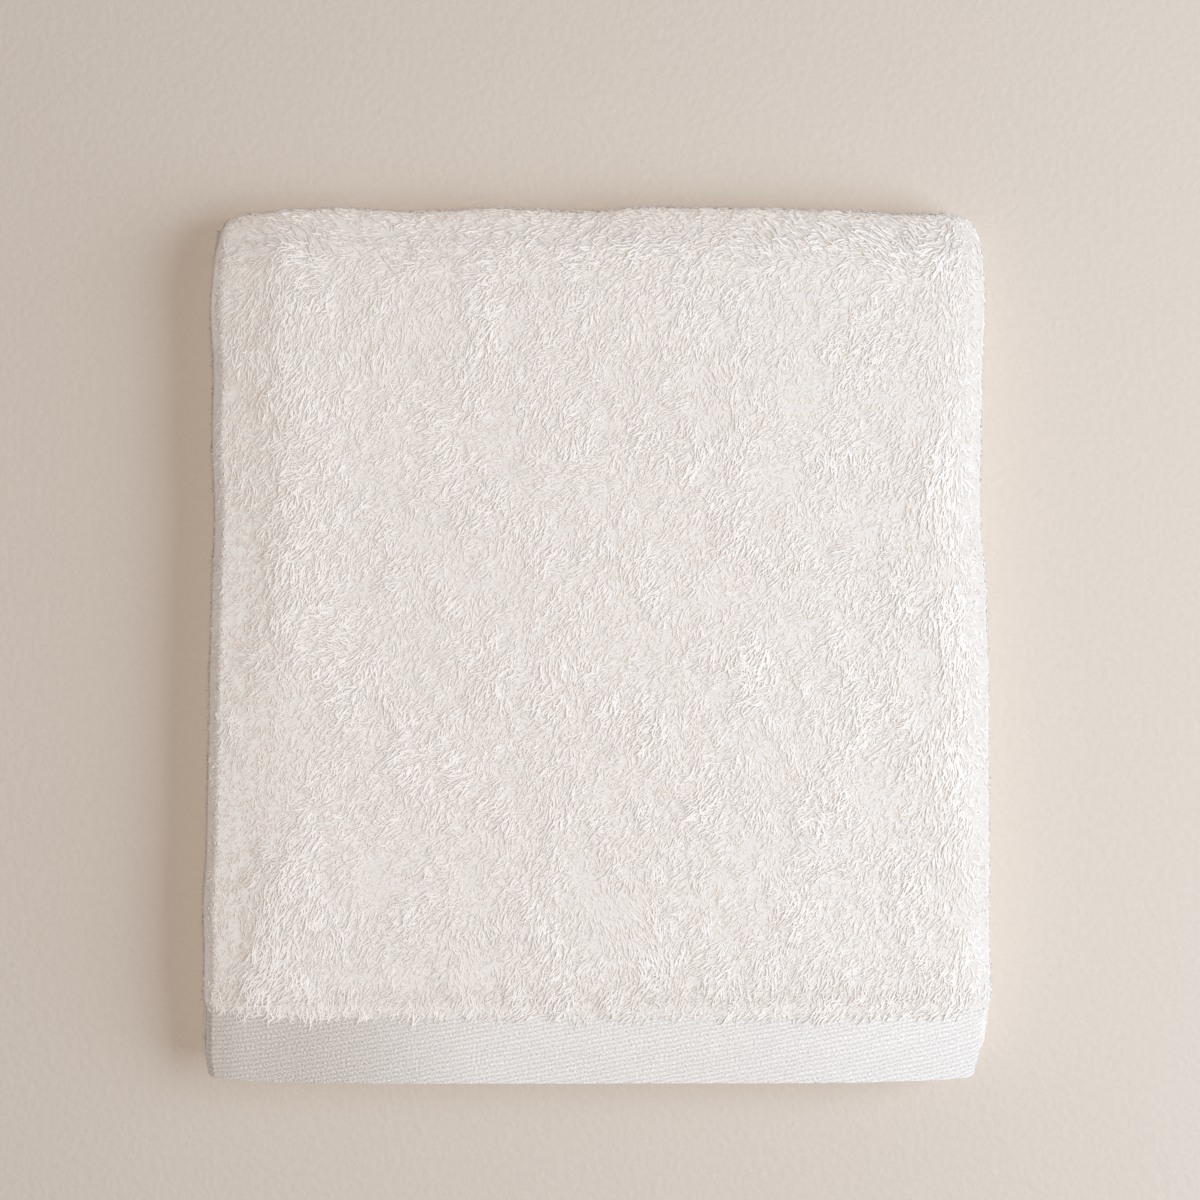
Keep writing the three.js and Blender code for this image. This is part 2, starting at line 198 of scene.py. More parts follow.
# Where the pile stands fuller (+) in long tufts, or lower (-) in short hollows that get painted
# shade: the place, its reach and the amount. Places and reaches are in millimetres.
TUFTS = [
    {"x": -92, "y": 112, "rx": 8, "ry": 10, "full": 1.0},
    {"x": -95, "y": 85, "rx": 8, "ry": 13, "full": 0.8},
    {"x": -92, "y": 48, "rx": 10, "ry": 20, "full": 0.8},
    {"x": -86, "y": 12, "rx": 9, "ry": 18, "full": 0.9},
    {"x": -83, "y": -16, "rx": 8, "ry": 16, "full": 0.8},
    {"x": -88, "y": -40, "rx": 7, "ry": 8, "full": 0.5},
    {"x": -91, "y": -76, "rx": 10, "ry": 20, "full": 1.0},
    {"x": -104, "y": -106, "rx": 8, "ry": 9, "full": 0.9},
    {"x": -37, "y": 114, "rx": 6, "ry": 12, "full": 0.9},
    {"x": -16, "y": 99, "rx": 7, "ry": 12, "full": 0.6},
    {"x": 8, "y": 129, "rx": 20, "ry": 6, "full": 0.9},
    {"x": 115, "y": 126, "rx": 10, "ry": 8, "full": 0.6},
    {"x": 48, "y": 65, "rx": 9, "ry": 6, "full": 0.5},
    {"x": 28, "y": 98, "rx": 8, "ry": 12, "full": 0.4},
    {"x": -30, "y": -15, "rx": 12, "ry": 8, "full": 0.7},
    {"x": 50, "y": -4, "rx": 8, "ry": 10, "full": 0.6},
    {"x": 96, "y": -12, "rx": 8, "ry": 7, "full": 0.8},
    {"x": -60, "y": -38, "rx": 7, "ry": 12, "full": 0.6},
    {"x": -34, "y": -52, "rx": 8, "ry": 9, "full": 0.5},
    {"x": -58, "y": -86, "rx": 8, "ry": 5, "full": 0.7},
    {"x": 12, "y": -34, "rx": 6, "ry": 7, "full": 0.5},
    {"x": -10, "y": -100, "rx": 8, "ry": 12, "full": 0.5},
    {"x": 117, "y": 10, "rx": 7, "ry": 110, "full": 0.5},
    {"x": -48, "y": 122, "rx": 8, "ry": 10, "full": -0.9},
    {"x": -66, "y": 131, "rx": 9, "ry": 5, "full": -0.8},
    {"x": -15, "y": 120, "rx": 6, "ry": 7, "full": -0.5},
    {"x": 2, "y": 110, "rx": 6, "ry": 6, "full": -0.6},
    {"x": 70, "y": 112, "rx": 10, "ry": 6, "full": -0.9},
    {"x": 111, "y": 108, "rx": 5, "ry": 8, "full": -0.7},
    {"x": 98, "y": 82, "rx": 8, "ry": 6, "full": -0.7},
    {"x": 36, "y": 75, "rx": 12, "ry": 6, "full": -0.6},
    {"x": -62, "y": 90, "rx": 8, "ry": 8, "full": -0.4},
    {"x": -58, "y": 38, "rx": 8, "ry": 8, "full": -1.0},
    {"x": -12, "y": 46, "rx": 5, "ry": 8, "full": -0.5},
    {"x": 84, "y": 45, "rx": 8, "ry": 10, "full": -0.8},
    {"x": 26, "y": 32, "rx": 9, "ry": 6, "full": -0.5},
    {"x": -29, "y": 25, "rx": 4, "ry": 6, "full": -0.6},
    {"x": 37, "y": 15, "rx": 4, "ry": 5, "full": -0.7},
    {"x": 66, "y": 14, "rx": 6, "ry": 14, "full": -0.5},
    {"x": -45, "y": 6, "rx": 10, "ry": 8, "full": -0.6},
    # The deep hollows near the left edge, from x -102 to -117, also paint the shade of the left
    # shoulder, which turns away from the key lamp.
    {"x": -115, "y": 10, "rx": 8, "ry": 20, "full": -1.2},
    {"x": -102, "y": -25, "rx": 10, "ry": 11, "full": -1.5},
    {"x": 104, "y": -4, "rx": 3, "ry": 32, "full": -0.6},
    {"x": 43, "y": -14, "rx": 5, "ry": 4, "full": -0.8},
    {"x": -25, "y": -42, "rx": 8, "ry": 6, "full": -0.6},
    {"x": -108, "y": -50, "rx": 15, "ry": 16, "full": -1.6},
    {"x": -117, "y": -90, "rx": 8, "ry": 22, "full": -1.6},
    {"x": -39, "y": -78, "rx": 5, "ry": 8, "full": -1.2},
    {"x": -66, "y": -78, "rx": 9, "ry": 9, "full": -1.3},
    {"x": 50, "y": -65, "rx": 6, "ry": 6, "full": -0.7},
    {"x": 46, "y": -89, "rx": 12, "ry": 6, "full": -0.6},
    {"x": 110, "y": -70, "rx": 4, "ry": 9, "full": -0.8},
    {"x": -2, "y": -68, "rx": 6, "ry": 8, "full": -0.4},
    {"x": -78, "y": -107, "rx": 7, "ry": 6, "full": -0.6},
    {"x": -48, "y": -108, "rx": 20, "ry": 7, "full": -0.9},
    {"x": 66, "y": 80, "rx": 12, "ry": 8, "full": -0.8},
    {"x": 30, "y": 14, "rx": 10, "ry": 8, "full": -0.5},
    {"x": 0, "y": -84, "rx": 9, "ry": 8, "full": -0.5},
    {"x": 88, "y": 130, "rx": 28, "ry": 6, "full": 0.8},
]

# Waves that bend the ovals of the two tables above, turn the nap's heading, and make the pile
# fuller and lower: their wavelength in millimetres, their amount (in millimetres, radians or
# fullness), and their seed.
NAP_BENDS_X = [{"wave": 26, "amount": 3.0, "seed": 11}, {"wave": 9, "amount": 1.2, "seed": 13}]
NAP_BENDS_Y = [{"wave": 26, "amount": 3.0, "seed": 12}, {"wave": 9, "amount": 1.2, "seed": 14}]
NAP_TURNS = [{"wave": 34, "amount": 0.16, "seed": 15}, {"wave": 14, "amount": 0.20, "seed": 16}]
TUFT_BENDS_X = [{"wave": 10, "amount": 1.6, "seed": 34}]
TUFT_BENDS_Y = [{"wave": 10, "amount": 1.6, "seed": 35}]
FULLNESS_WAVES = [
    {"wave": 34, "amount": 0.13, "seed": 31},
    {"wave": 15, "amount": 0.13, "seed": 32},
    {"wave": 6.5, "amount": 0.10, "seed": 33},
]

# How the ribs of the border waver, with the amount as a share of a rib's turn.
RIB_WAVERS = [{"wave": 9, "amount": 0.08, "seed": 3}]

# How hard a patch draws the nap to its heading, how sharply that ends at its reach, how far
# from straight outwards a whorl turns, and how flat strands lie where no patch says so.
PATCH_PULL = 6.0
PATCH_EDGE = 1.5
WHORL_TURN = 1.9
NAP_FLATNESS = 0.75

# How full the pile is by itself, and how much a tuft of 1 adds to that.
PLAIN_FULLNESS = 0.5
TUFT_FULLNESS = 0.42

# How far the pile in a full tuft stands over that in a hollow, and the fullness at which it
# stands at the bed's own level.
TUFT_RELIEF = 0.5 * MM
LEVEL_FULLNESS = 0.15

# How rows and columns of roots are spaced beside the spacing asked for, and how far a root is
# off its place, as a share of a step.
ROW_SPACING = 0.93
COLUMN_SPACING = 1.075
ROOT_JITTER = 0.45

# Where the pile of a folded edge begins inside the face's own edge, and how soon it is full.
RIM_INSIDE = 4 * MM
RIM_BLEND = 5 * MM

# How strands turn from the nap, in radians: with their tuft, more where they are loose, each on
# its own, each on a folded edge, and from the root's heading to the tip's.
TUFT_TURN = 0.7
LOOSE_TURN = 0.5
OWN_TURN = 0.14
RIM_TURN = 0.8
STRAND_BEND = 0.6

# How far a strand reaches: its range, its share in the deepest hollow, what the fullest tuft
# adds, and how much shorter it is on a folded edge.
REACH_RANGE = (0.65, 1.25)
HOLLOW_REACH = 0.82
TUFT_REACH = 0.34
RIM_SHORTER = 0.45

# How far along a strand its root's heading holds, and how deep in the bed its root is.
ROOT_LEG = 0.4
ROOT_DEPTH = 0.5 * MM

# The height of a strand's crest beside the room over the bed: in the middle, between tufts,
# between strands, and how much lower an under strand lies.
CREST = 1.9
CREST_BY_TUFT = 0.3
CREST_SPREAD = 0.10
UNDER_LOWER = 0.4

# The height of a strand's tip: its share of that room, more where it lies less flat, its spread.
TIP_SHARE = 0.75
LOOSE_TIP = 0.3 * MM
TIP_SPREAD = 0.06 * MM

# How far stray fibres stand off the rest, at their crest and at their tip.
STRAY_CREST = 0.6
STRAY_CREST_RANGE = (0.2, 1.0)
STRAY_TIP_RANGE = (0.1, 1.0)

# How far a tip is drawn to the middle of its tuft, and how much less an under strand is.
TUFT_PULL = 0.32
TUFT_PULL_RANGE = (0.5, 1.2)
UNDER_LESS_PULL = 0.6

# A hooked strand: how far its tip stands to the side and comes back, its range, and how much
# further the root's leg goes.
HOOK_WIDTH = 1.5 * MM
HOOK_BACK = 0.45
HOOK_RANGE = (0.5, 1.0)
HOOK_LEG = 0.5

# The range of a strand's thickness, and the least height of the pile over the floor.
THICKNESS_RANGE = (0.7, 1.25)
FLOOR_CLEARANCE = 0.05 * MM

# How much of a strand's tint it has from its tuft, and how much of its own.
TUFT_TINT = 0.45
OWN_TINT = 0.65

# How much of the crown, which the painted shade on a strand's sides leaves out, the two pointed
# ends of a strand have.
ROOT_CROWN = 0.3
TIP_CROWN = 0.6

# Where along a strand its rings stand, for full strands, under and stray ones, and those below.
FULL_RINGS = [0.3, 0.72]
SHORT_RINGS = [0.45]
HIDDEN_RINGS = [0.5]

# The roots' spacing beside the top's, for the kinds of pile that differ from it.
UNDER_SPACING = 0.82
EDGE_SPACING = 1.12
HIDDEN_SPACING = 2.1
STRAY_SPACING = 1.35

# How those kinds of pile differ from the top's.
UNDER_PILE = {"thick": 0.7, "longer": 0.6, "under": 1.0}
SIDE_PILE = {"longer": 0.75}
FOLD_PILE = {"longer": 0.9}
HIDDEN_PILE = {"thick": 1.9, "longer": 1.6}
STRAY_PILE = {"thick": 0.26, "longer": 0.55, "stand": 1.5 * MM}

# How far round a side fold the top's pile reaches and the strays do, as a share of the fold, how
# far in on the face strays begin, and how far the top's pile and theirs reach at the back fold.
TOP_ROUND_FOLD = 0.2
STRAY_ROUND_FOLD = 0.8
STRAY_INSIDE = 3 * MM
BACK_OVERLAP = 2 * MM
STRAY_BACK_OVERLAP = 4 * MM

# How many steps the cloth's mesh has across, and for the border's finer part.
FACE_COLUMNS = 50
FINE_PER_COLUMN = 4
FOLD_COLUMNS = 10
FLAP_COLUMNS = 8
BORDER_ROWS = 66

# The way a point faces is read off the fold over this small a lift, and a slope over no less
# than this upright part of it.
LOOK_STEP = 0.1 * MM
LEAST_UPRIGHT = 0.05

# How much a strand is shaded as part of the soft nap around it, and not as a hard round rod.
SOFTNESS = 0.67

# How much steeper than it is a slope to each side is shaded, and the steepest it gets, so that
# the soft rims keep one tone round their folds. The ends are the front and the back.
RIM_GAINS = {"left": 1.6, "right": 1.0, "ends": 1.0}
RIM_SLOPES = {"left": 0.74, "right": 0.10, "ends": 0.15}

# The upright part of a look below which it is shaded as it is, and over what range above that
# the soft shading comes in.
TRUE_BELOW = -0.35
SOFT_RANGE = 0.45

# How the woven border's shading leans (+ is to the right): from where along X, and over what
# distance it comes in, both in millimetres.
BORDER_LEANS = [
    {"from": 50, "over": 60, "lean": 0.12},
    {"from": -25, "over": -75, "lean": -0.34},
    {"from": -115, "over": -7, "lean": -0.12},
]

# Painted shade of the pile: down the sides of a strand in hollows and on tufts, and all over a
# hollow; then the dullest and brightest strand beside the pile's own colour.
WHITE = (1.0, 1.0, 1.0)
HOLLOW_SIDE_SHADE = (0.865, 0.815, 0.77)
TUFT_SIDE_SHADE = (0.91, 0.89, 0.865)
HOLLOW_SHADE = (0.88, 0.86, 0.84)
DULL_STRAND = (0.93, 0.92, 0.905)
BRIGHT_STRAND = 1.035

# From where to where along a strand its colour goes from the root's painted shade to its own.
ROOT_SHADE_RANGE = (0.05, 0.5)

# The darkest and lightest of the ground weave, beside the painted shade colour of the roots.
GROUND_SHADES = (0.94, 1.04)

# Tints of the border: its dullest and brightest grain, the painted shade between its ribs and
# the painted highlight on them, and the two ends of its soft mottling.
DULL_GRAIN = (0.86, 0.85, 0.84)
BRIGHT_GRAIN = 1.09
RIB_VALLEY_SHADE = (0.90, 0.885, 0.87)
RIB_CREST_HIGHLIGHT = (1.05, 1.05, 1.05)
MOTTLE_DARK = (0.98, 0.975, 0.97)
MOTTLE_LIGHT = (1.02, 1.02, 1.02)
GRAINS_PER_RIB = 3.2

# Between which values nearly all of a noise lies.
NOISE_RANGE = (0.3, 0.7)

# The stage: half the floor's width and how much its paint varies, the faint even world, and the
# two square lamps, with their place, width, power in watts and colour.
FLOOR_REACH = 3.0
FLOOR_GRAIN = 0.035
WORLD_COLOUR = (1.0, 0.944, 0.985, 1.0)
WORLD_STRENGTH = 0.1
LAMPS = [
    {
        "name": "overhead",
        "place": (0.0, 0.0, 1.9),
        "width": 0.4,
        "power": 17.4,
        "colour": (1.0, 0.881, 0.774),
    },
    {
        "name": "key",
        "place": (0.88, -0.10, 0.70),
        "width": 0.85,
        "power": 11.3,
        "colour": (0.738, 0.865, 1.0),
    },
]

# The camera's height over the top of the towel, and its place over it.
CAMERA_HEIGHT = 0.914
CAMERA_X = 1.0 * MM
CAMERA_Y = 14.3 * MM

# Ready values of the fold, all to the middle of the cloth's thickness.
PITCH = TERRY_THICK + TERRY_GAP
BOTTOM_LEVEL = TERRY_THICK / 2
FRONT_RADIUS = 1.5 * PITCH
BACK_RADIUS = 2.5 * PITCH
FRONT_CENTRE_Y = -FOLDED_DEPTH / 2 + FRONT_INSET + FRONT_RADIUS + TERRY_THICK / 2
BACK_CENTRE_Y = FOLDED_DEPTH / 2 - BACK_RADIUS - TERRY_THICK / 2
TOP_LENGTH = BACK_CENTRE_Y + FOLDED_DEPTH / 2
BOTTOM_LENGTH = BACK_CENTRE_Y - FRONT_CENTRE_Y
INNER_LENGTH = TOWEL_LENGTH - TOP_LENGTH - BOTTOM_LENGTH - math.pi * (FRONT_RADIUS + BACK_RADIUS)

# Distances along the cloth where one stretch of the fold ends and the next begins.
FRONT_START = INNER_LENGTH
BOTTOM_START = FRONT_START + math.pi * FRONT_RADIUS
BACK_START = BOTTOM_START + BOTTOM_LENGTH
TOP_START = BACK_START + math.pi * BACK_RADIUS
PILE_END = TOWEL_LENGTH - BORDER_LENGTH

# Half of the flat face between the side folds, and the way round a side fold, in the terry.
TERRY_HALF_FACE = FOLDED_WIDTH / 2 - PITCH / 2 - TERRY_THICK / 2
TERRY_FOLD = math.pi * PITCH / 2


def clamp01(value):
    """A value cut to the range from 0 to 1."""
    return np.clip(value, 0.0, 1.0)


def smooth(value):
    """0 below 0, 1 above 1, and a smooth S between: 3 t squared minus 2 t cubed."""
    t = clamp01(value)
    return t * t * (3 - 2 * t)


def read_table(rows, key, at, column):
    """A table's column at many places, along a smooth S between its rows, in metres."""
    places = np.array([row[key] for row in rows]) * MM
    values = np.array([row[column] for row in rows]) * MM
    after = np.clip(np.searchsorted(places, at), 1, len(places) - 1)
    step = (at - places[after - 1]) / (places[after] - places[after - 1])
    return values[after - 1] + (values[after] - values[after - 1]) * smooth(step)


def unit(vectors, tiny=1e-12):
    """Vectors made 1 long, along the last axis; tiny keeps one of no length at nothing."""
    return vectors / (np.linalg.norm(vectors, axis=-1, keepdims=True) + tiny)


def waves(x, y, wavelength, seed, count=10):
    """Even, seamless unevenness of about -1 to 1: a sum of plane waves of nearly one length."""
    rng = np.random.default_rng(SEED + seed)
    total = np.zeros_like(x)
    for _ in range(count):
        angle = rng.uniform(0, TURN)
        number = TURN / (wavelength * rng.uniform(0.75, 1.35))
        phase = rng.uniform(0, TURN)
        total += np.cos(number * (x * math.cos(angle) + y * math.sin(angle)) + phase)
    return total / math.sqrt(count)


def with_waves(start, x, y, rows, amount_unit=1.0):
    """A value with the waves of a table's rows added, each times its amount."""
    for row in rows:
        start = start + waves(x, y, row["wave"] * MM, row["seed"]) * row["amount"] * amount_unit
    return start


def border_share(along):
    """How much the cloth is border: 0 in the pile, 1 in the flat weave at either end."""
    from_end = np.minimum(along, TOWEL_LENGTH - along)
    return smooth((BORDER_LENGTH + BORDER_BLEND / 2 - from_end) / BORDER_BLEND)


def path_at(along):
    """The middle of the face cloth: its y and z, the way its face looks in YZ, and its shift.

    The path is straight to the front, half a circle down, straight to the back, half a larger
    circle up, and straight to the front again, lower in the border's last stretch.
    """
    front_turn = (along - FRONT_START) / FRONT_RADIUS
    back_turn = (along - BACK_START) / BACK_RADIUS
    thinner = border_share(along) * (PITCH - BORDER_THICK - BORDER_GAP) / 2
    left = TOWEL_LENGTH - along
    drop = DROP_LEVEL * smooth((BORDER_LENGTH + BORDER_BLEND - left) / DROP_SLOPE)
    drop = drop + DROP_EDGE * clamp01(1 - left / DROP_EDGE_LENGTH) ** 2
    one = np.ones_like(along)
    stretch = [
        along <= FRONT_START,
        along < BOTTOM_START,
        along <= BACK_START,
        along < TOP_START,
    ]
    y = np.select(
        stretch,
        [
            FRONT_CENTRE_Y + INNER_LENGTH - along,
            FRONT_CENTRE_Y - FRONT_RADIUS * np.sin(front_turn),
            FRONT_CENTRE_Y + along - BOTTOM_START,
            BACK_CENTRE_Y + BACK_RADIUS * np.sin(back_turn),
        ],
        BACK_CENTRE_Y - (along - TOP_START),
    )
    z = np.select(
        stretch,
        [
            BOTTOM_LEVEL + 2 * FRONT_RADIUS - thinner,
            BOTTOM_LEVEL + FRONT_RADIUS * (1 + np.cos(front_turn)),
            BOTTOM_LEVEL * one,
            BOTTOM_LEVEL + BACK_RADIUS * (1 - np.cos(back_turn)),
        ],
        BOTTOM_LEVEL + 2 * BACK_RADIUS - drop,
    )
    face_y = np.select(stretch, [0 * one, -np.sin(front_turn), 0 * one, np.sin(back_turn)], 0.0)
    face_z = np.select(stretch, [one, np.cos(front_turn), -one, -np.cos(back_turn)], 1.0)
    down = front_turn / math.pi
    up = back_turn / math.pi
    shift = np.select(
        stretch,
        [
            SHIFT_INNER * one,
            SHIFT_INNER + (SHIFT_BOTTOM - SHIFT_INNER) * down,
            SHIFT_BOTTOM * one,
            SHIFT_BOTTOM * (1 - up),
        ],
        0.0,
    )
    return y, z, face_y, face_z, shift


def section_at(across, along):
    """Across the doubled strip: x, the depth behind the face cloth, and the way the face looks.

    From the middle the cloth runs flat to a side fold, half a circle round it, and flat back
    towards the middle as the flap behind. The border is narrower and thinner.
    """
    border = border_share(along)
    thick = TERRY_THICK + (BORDER_THICK - TERRY_THICK) * border
    apart = PITCH + (BORDER_THICK + BORDER_GAP - PITCH) * border
    outer = FOLDED_WIDTH + (FOLDED_BORDER_WIDTH - FOLDED_WIDTH) * border
    cut = TOWEL_WIDTH + (WIDTH_AT_BORDER - TOWEL_WIDTH) * border
    side = np.sign(across)
    out = np.abs(across) * cut / TOWEL_WIDTH
    radius = apart / 2
    half_face = outer / 2 - radius - thick / 2
    turn = (out - half_face) / radius
    stretch = [turn <= 0, turn < math.pi]
    x = np.select(
        stretch,
        [out, half_face + radius * np.sin(turn)],
        half_face - (out - half_face - math.pi * radius),
    )
    depth = np.select(stretch, [0 * out, radius * (1 - np.cos(turn))], apart)
    look_x = np.select(stretch, [0 * out, np.sin(turn)], 0.0)
    look_out = np.select(stretch, [1 + 0 * out, np.cos(turn)], -1.0)
    return side * x, depth, side * look_x, look_out


def sunk_at(shoulder, from_edge):
    """How far a shoulder has sunk: a straight slope from its edge, levelling off smoothly.

    The slope is 1 minus the smooth S of t, so the height is its integral from t to 1, which is
    a half minus t plus t cubed minus half of t to the fourth.
    """
    level = shoulder["reach"] - shoulder["straight"]
    t = clamp01((from_edge - shoulder["straight"]) / level)
    curved = level * (0.5 - t + t**3 - t**4 / 2)
    return shoulder["slope"] * (np.maximum(0, shoulder["straight"] - from_edge) + curved)


def settle(x, y, z):
    """Moves points of the neatly folded stack to where they settle.

    The outline draws in and out by the edge tables, and the height is scaled down by the share
    that the shoulders have sunk, and up by a soft bell for each hill.
    """
    leftward = clamp01(0.5 - x / FOLDED_WIDTH)
    side = x + read_table(SIDE_EDGES, "y", y, "right") * (1 - leftward)
    side -= read_table(SIDE_EDGES, "y", y, "left") * leftward
    reached = smooth((np.abs(y) - END_REACH_START) / (END_REACH_FULL - END_REACH_START))
    end = y + read_table(END_EDGES, "x", x, "front") * reached * (y < 0)
    end -= read_table(END_EDGES, "x", x, "back") * reached * (y >= 0)
    top = 2 * BACK_RADIUS + TERRY_THICK
    sides = sunk_at(LEFT_SHOULDER, FOLDED_WIDTH / 2 + x)
    sides += sunk_at(RIGHT_SHOULDER, FOLDED_WIDTH / 2 - x)
    share = (1 - sides / top) * (1 - sunk_at(BACK_SHOULDER, FOLDED_DEPTH / 2 - y) / top)
    for hill in HILLS:
        off_x = (x / MM - hill["x"]) / hill["reach_x"]
        off_y = (y / MM - hill["y"]) / hill["reach_y"]
        share += hill["height"] * MM / top * np.exp(-(off_x**2) - off_y**2)
    return np.stack([side, end, z * share], axis=-1)


def fold(across, along, lift):
    """Where points of the flat cloth lie in the folded towel, as an array of x, y and z.

    A point is the path's place, plus the section's depth and its lift along the way the
    section's face looks, carried along the way the path's face looks.
    """
    y, z, face_y, face_z, shift = path_at(along)
    x, depth, look_x, look_out = section_at(across, along)
    raised = lift * look_out - depth
    return settle(x + lift * look_x + shift, y + raised * face_y, z + raised * face_z)


def face_normals(across, along, lift, side=1.0):
    """Folded points, the way the cloth faces at them, and the same with soft rims.

    A soft one has its slope, the level part over the upright part, times the rim gain of the
    side it leans to, cut to that side's rim slope. By a smooth S it gives way to the true one
    as the face turns down.
    """
    here = fold(across, along, lift)
    looks = unit((fold(across, along, lift + LOOK_STEP * side) - here).reshape(-1, 3))
    level = np.hypot(looks[:, 0], looks[:, 1]) + 1e-9
    lean_x, lean_y = looks[:, 0] / level, looks[:, 1] / level
    leans = {"left": np.minimum(lean_x, 0), "right": np.maximum(lean_x, 0), "ends": lean_y}
    gain = sum(RIM_GAINS[name] * lean**2 for name, lean in leans.items())
    steepest = sum(RIM_SLOPES[name] * lean**2 for name, lean in leans.items())
    slope = np.minimum(gain * level / np.maximum(looks[:, 2], LEAST_UPRIGHT), steepest)
    soft = unit(np.stack([lean_x * slope, lean_y * slope, np.ones_like(slope)], axis=-1), 0.0)
    share = smooth((looks[:, 2] - TRUE_BELOW) / SOFT_RANGE)[:, None]
    soft = looks * (1 - share) + soft * share
    return here.reshape(-1, 3), looks, soft


def write_mesh(name, points, corners, sizes, material, attributes=(), smooth_shade=True):
    """A mesh object from whole arrays: points, the corners of all faces in a row, face sizes."""
    mesh = bpy.data.meshes.new(name)
    mesh.vertices.add(len(points))
    mesh.vertices.foreach_set("co", np.asarray(points, np.float32).ravel())
    mesh.loops.add(len(corners))
    mesh.loops.foreach_set("vertex_index", np.asarray(corners, np.int32))
    mesh.polygons.add(len(sizes))
    starts = np.concatenate([[0], np.cumsum(sizes)[:-1]]).astype(np.int32)
    mesh.polygons.foreach_set("loop_start", starts)
    mesh.polygons.foreach_set("use_smooth", np.full(len(sizes), smooth_shade))
    mesh.update(calc_edges=True)
    for title, values in attributes:
        attribute = mesh.attributes.new(title, "FLOAT", "POINT")
        attribute.data.foreach_set("value", np.asarray(values, np.float32))
    mesh.materials.append(material)
    piece = bpy.data.objects.new(name, mesh)
    bpy.context.scene.collection.objects.link(piece)
    return piece


def settings():
    """The scene's towel settings, as the panel shows them."""
    return bpy.context.scene.folded_towel


class TowelSettings(bpy.types.PropertyGroup):
    """Sizes and colours of the towel that a user may change."""

    bed_thick: bpy.props.FloatProperty(
        name="Pile bed",
        description="Thickness of the terry up to where its loops stand close together",
        default=3.89 * MM,
        min=1 * MM,
        max=4 * MM,
        unit="LENGTH",
        precision=4,
    )
    strand_width: bpy.props.FloatProperty(
        name="Strand width",
        description="Width of a lock of pile yarn as it lies on the bed",
        default=0.62 * MM,
        min=0.1 * MM,
        max=1 * MM,
        unit="LENGTH",
        precision=5,
    )
    strand_height: bpy.props.FloatProperty(
        name="Strand height",
        description="Thickness of a lock of pile yarn from the bed upwards",
        default=0.42 * MM,
        min=0.1 * MM,
        max=1 * MM,
        unit="LENGTH",
        precision=5,
    )
    strand_spacing: bpy.props.FloatProperty(
        name="Strand spacing",
        description="Distance between the roots of neighbouring strands on the top",
        default=1.40 * MM,
        min=0.8 * MM,
        max=4 * MM,
        unit="LENGTH",
        precision=5,
    )
    strand_length: bpy.props.FloatProperty(
        name="Strand length",
        description="How far an ordinary strand reaches along the cloth",
        default=4.3 * MM,
        min=1 * MM,
        max=10 * MM,
        unit="LENGTH",
        precision=4,
    )
    hook_share: bpy.props.FloatProperty(
        name="Hook share",
        description="Share of the strands that hook round to the side",
        default=0.45,
        min=0,
        max=1,
        subtype="FACTOR",
    )
    tuft_size: bpy.props.FloatProperty(
        name="Tuft size",
        description="Distance between neighbouring tufts of strands",
        default=4.6 * MM,
        min=1 * MM,
        max=20 * MM,
        unit="LENGTH",
        precision=4,
    )
    rib_pitch: bpy.props.FloatProperty(
        name="Rib pitch",
        description="Distance between the ribs of the twill border",
        default=1.5 * MM,
        min=0.5 * MM,
        max=4 * MM,
        unit="LENGTH",
        precision=4,
    )
    rib_angle: bpy.props.FloatProperty(
        name="Rib angle",
        description="How steeply the ribs of the twill border rise to the right",
        default=math.radians(11),
        subtype="ANGLE",
    )
    rib_height: bpy.props.FloatProperty(
        name="Rib height",
        description="How far the ribs of the twill border stand out",
        default=0.09 * MM,
        min=0,
        max=0.5 * MM,
        unit="LENGTH",
        precision=5,
    )
    float_length: bpy.props.FloatProperty(
        name="Float length",
        description="Length of the twill's floats, the short runs of thread along a rib",
        default=0.85 * MM,
        min=0.2 * MM,
        max=5 * MM,
        unit="LENGTH",
        precision=5,
    )
    tip_colour: bpy.props.FloatVectorProperty(
        name="Pile",
        description="Colour of the tips of the pile",
        subtype="COLOR",
        size=3,
        min=0,
        max=1,
        default=(0.96, 0.94, 0.925),
    )
    # The pile's root colour is painted shade deep in the pile, on the strands' roots and on the
    # ground weave.
    shaded_root_colour: bpy.props.FloatVectorProperty(
        name="Pile roots",
        description="Colour deep in the pile",
        subtype="COLOR",
        size=3,
        min=0,
        max=1,
        default=(0.89, 0.85, 0.81),
    )
    border_colour: bpy.props.FloatVectorProperty(
        name="Border",
        description="Colour of the woven border",
        subtype="COLOR",
        size=3,
        min=0,
        max=1,
        default=(0.915, 0.895, 0.873),
    )
    floor_colour: bpy.props.FloatVectorProperty(
        name="Floor",
        description="Colour of the floor under the towel",
        subtype="COLOR",
        size=3,
        min=0,
        max=1,
        default=(0.708, 0.634, 0.560),
    )


def new_material(name):
    """A material with its node tree emptied down to a Principled BSDF and an output."""
    material = bpy.data.materials.new(name)
    material.use_nodes = True
    nodes = material.node_tree.nodes
    nodes.clear()
    shader = nodes.new("ShaderNodeBsdfPrincipled")
    output = nodes.new("ShaderNodeOutputMaterial")
    material.node_tree.links.new(shader.outputs["BSDF"], output.inputs["Surface"])
    return material, shader


def group_node(material, group):
    """A shader node group placed in a material."""
    node = material.node_tree.nodes.new("ShaderNodeGroup")
    node.node_tree = group
    return node


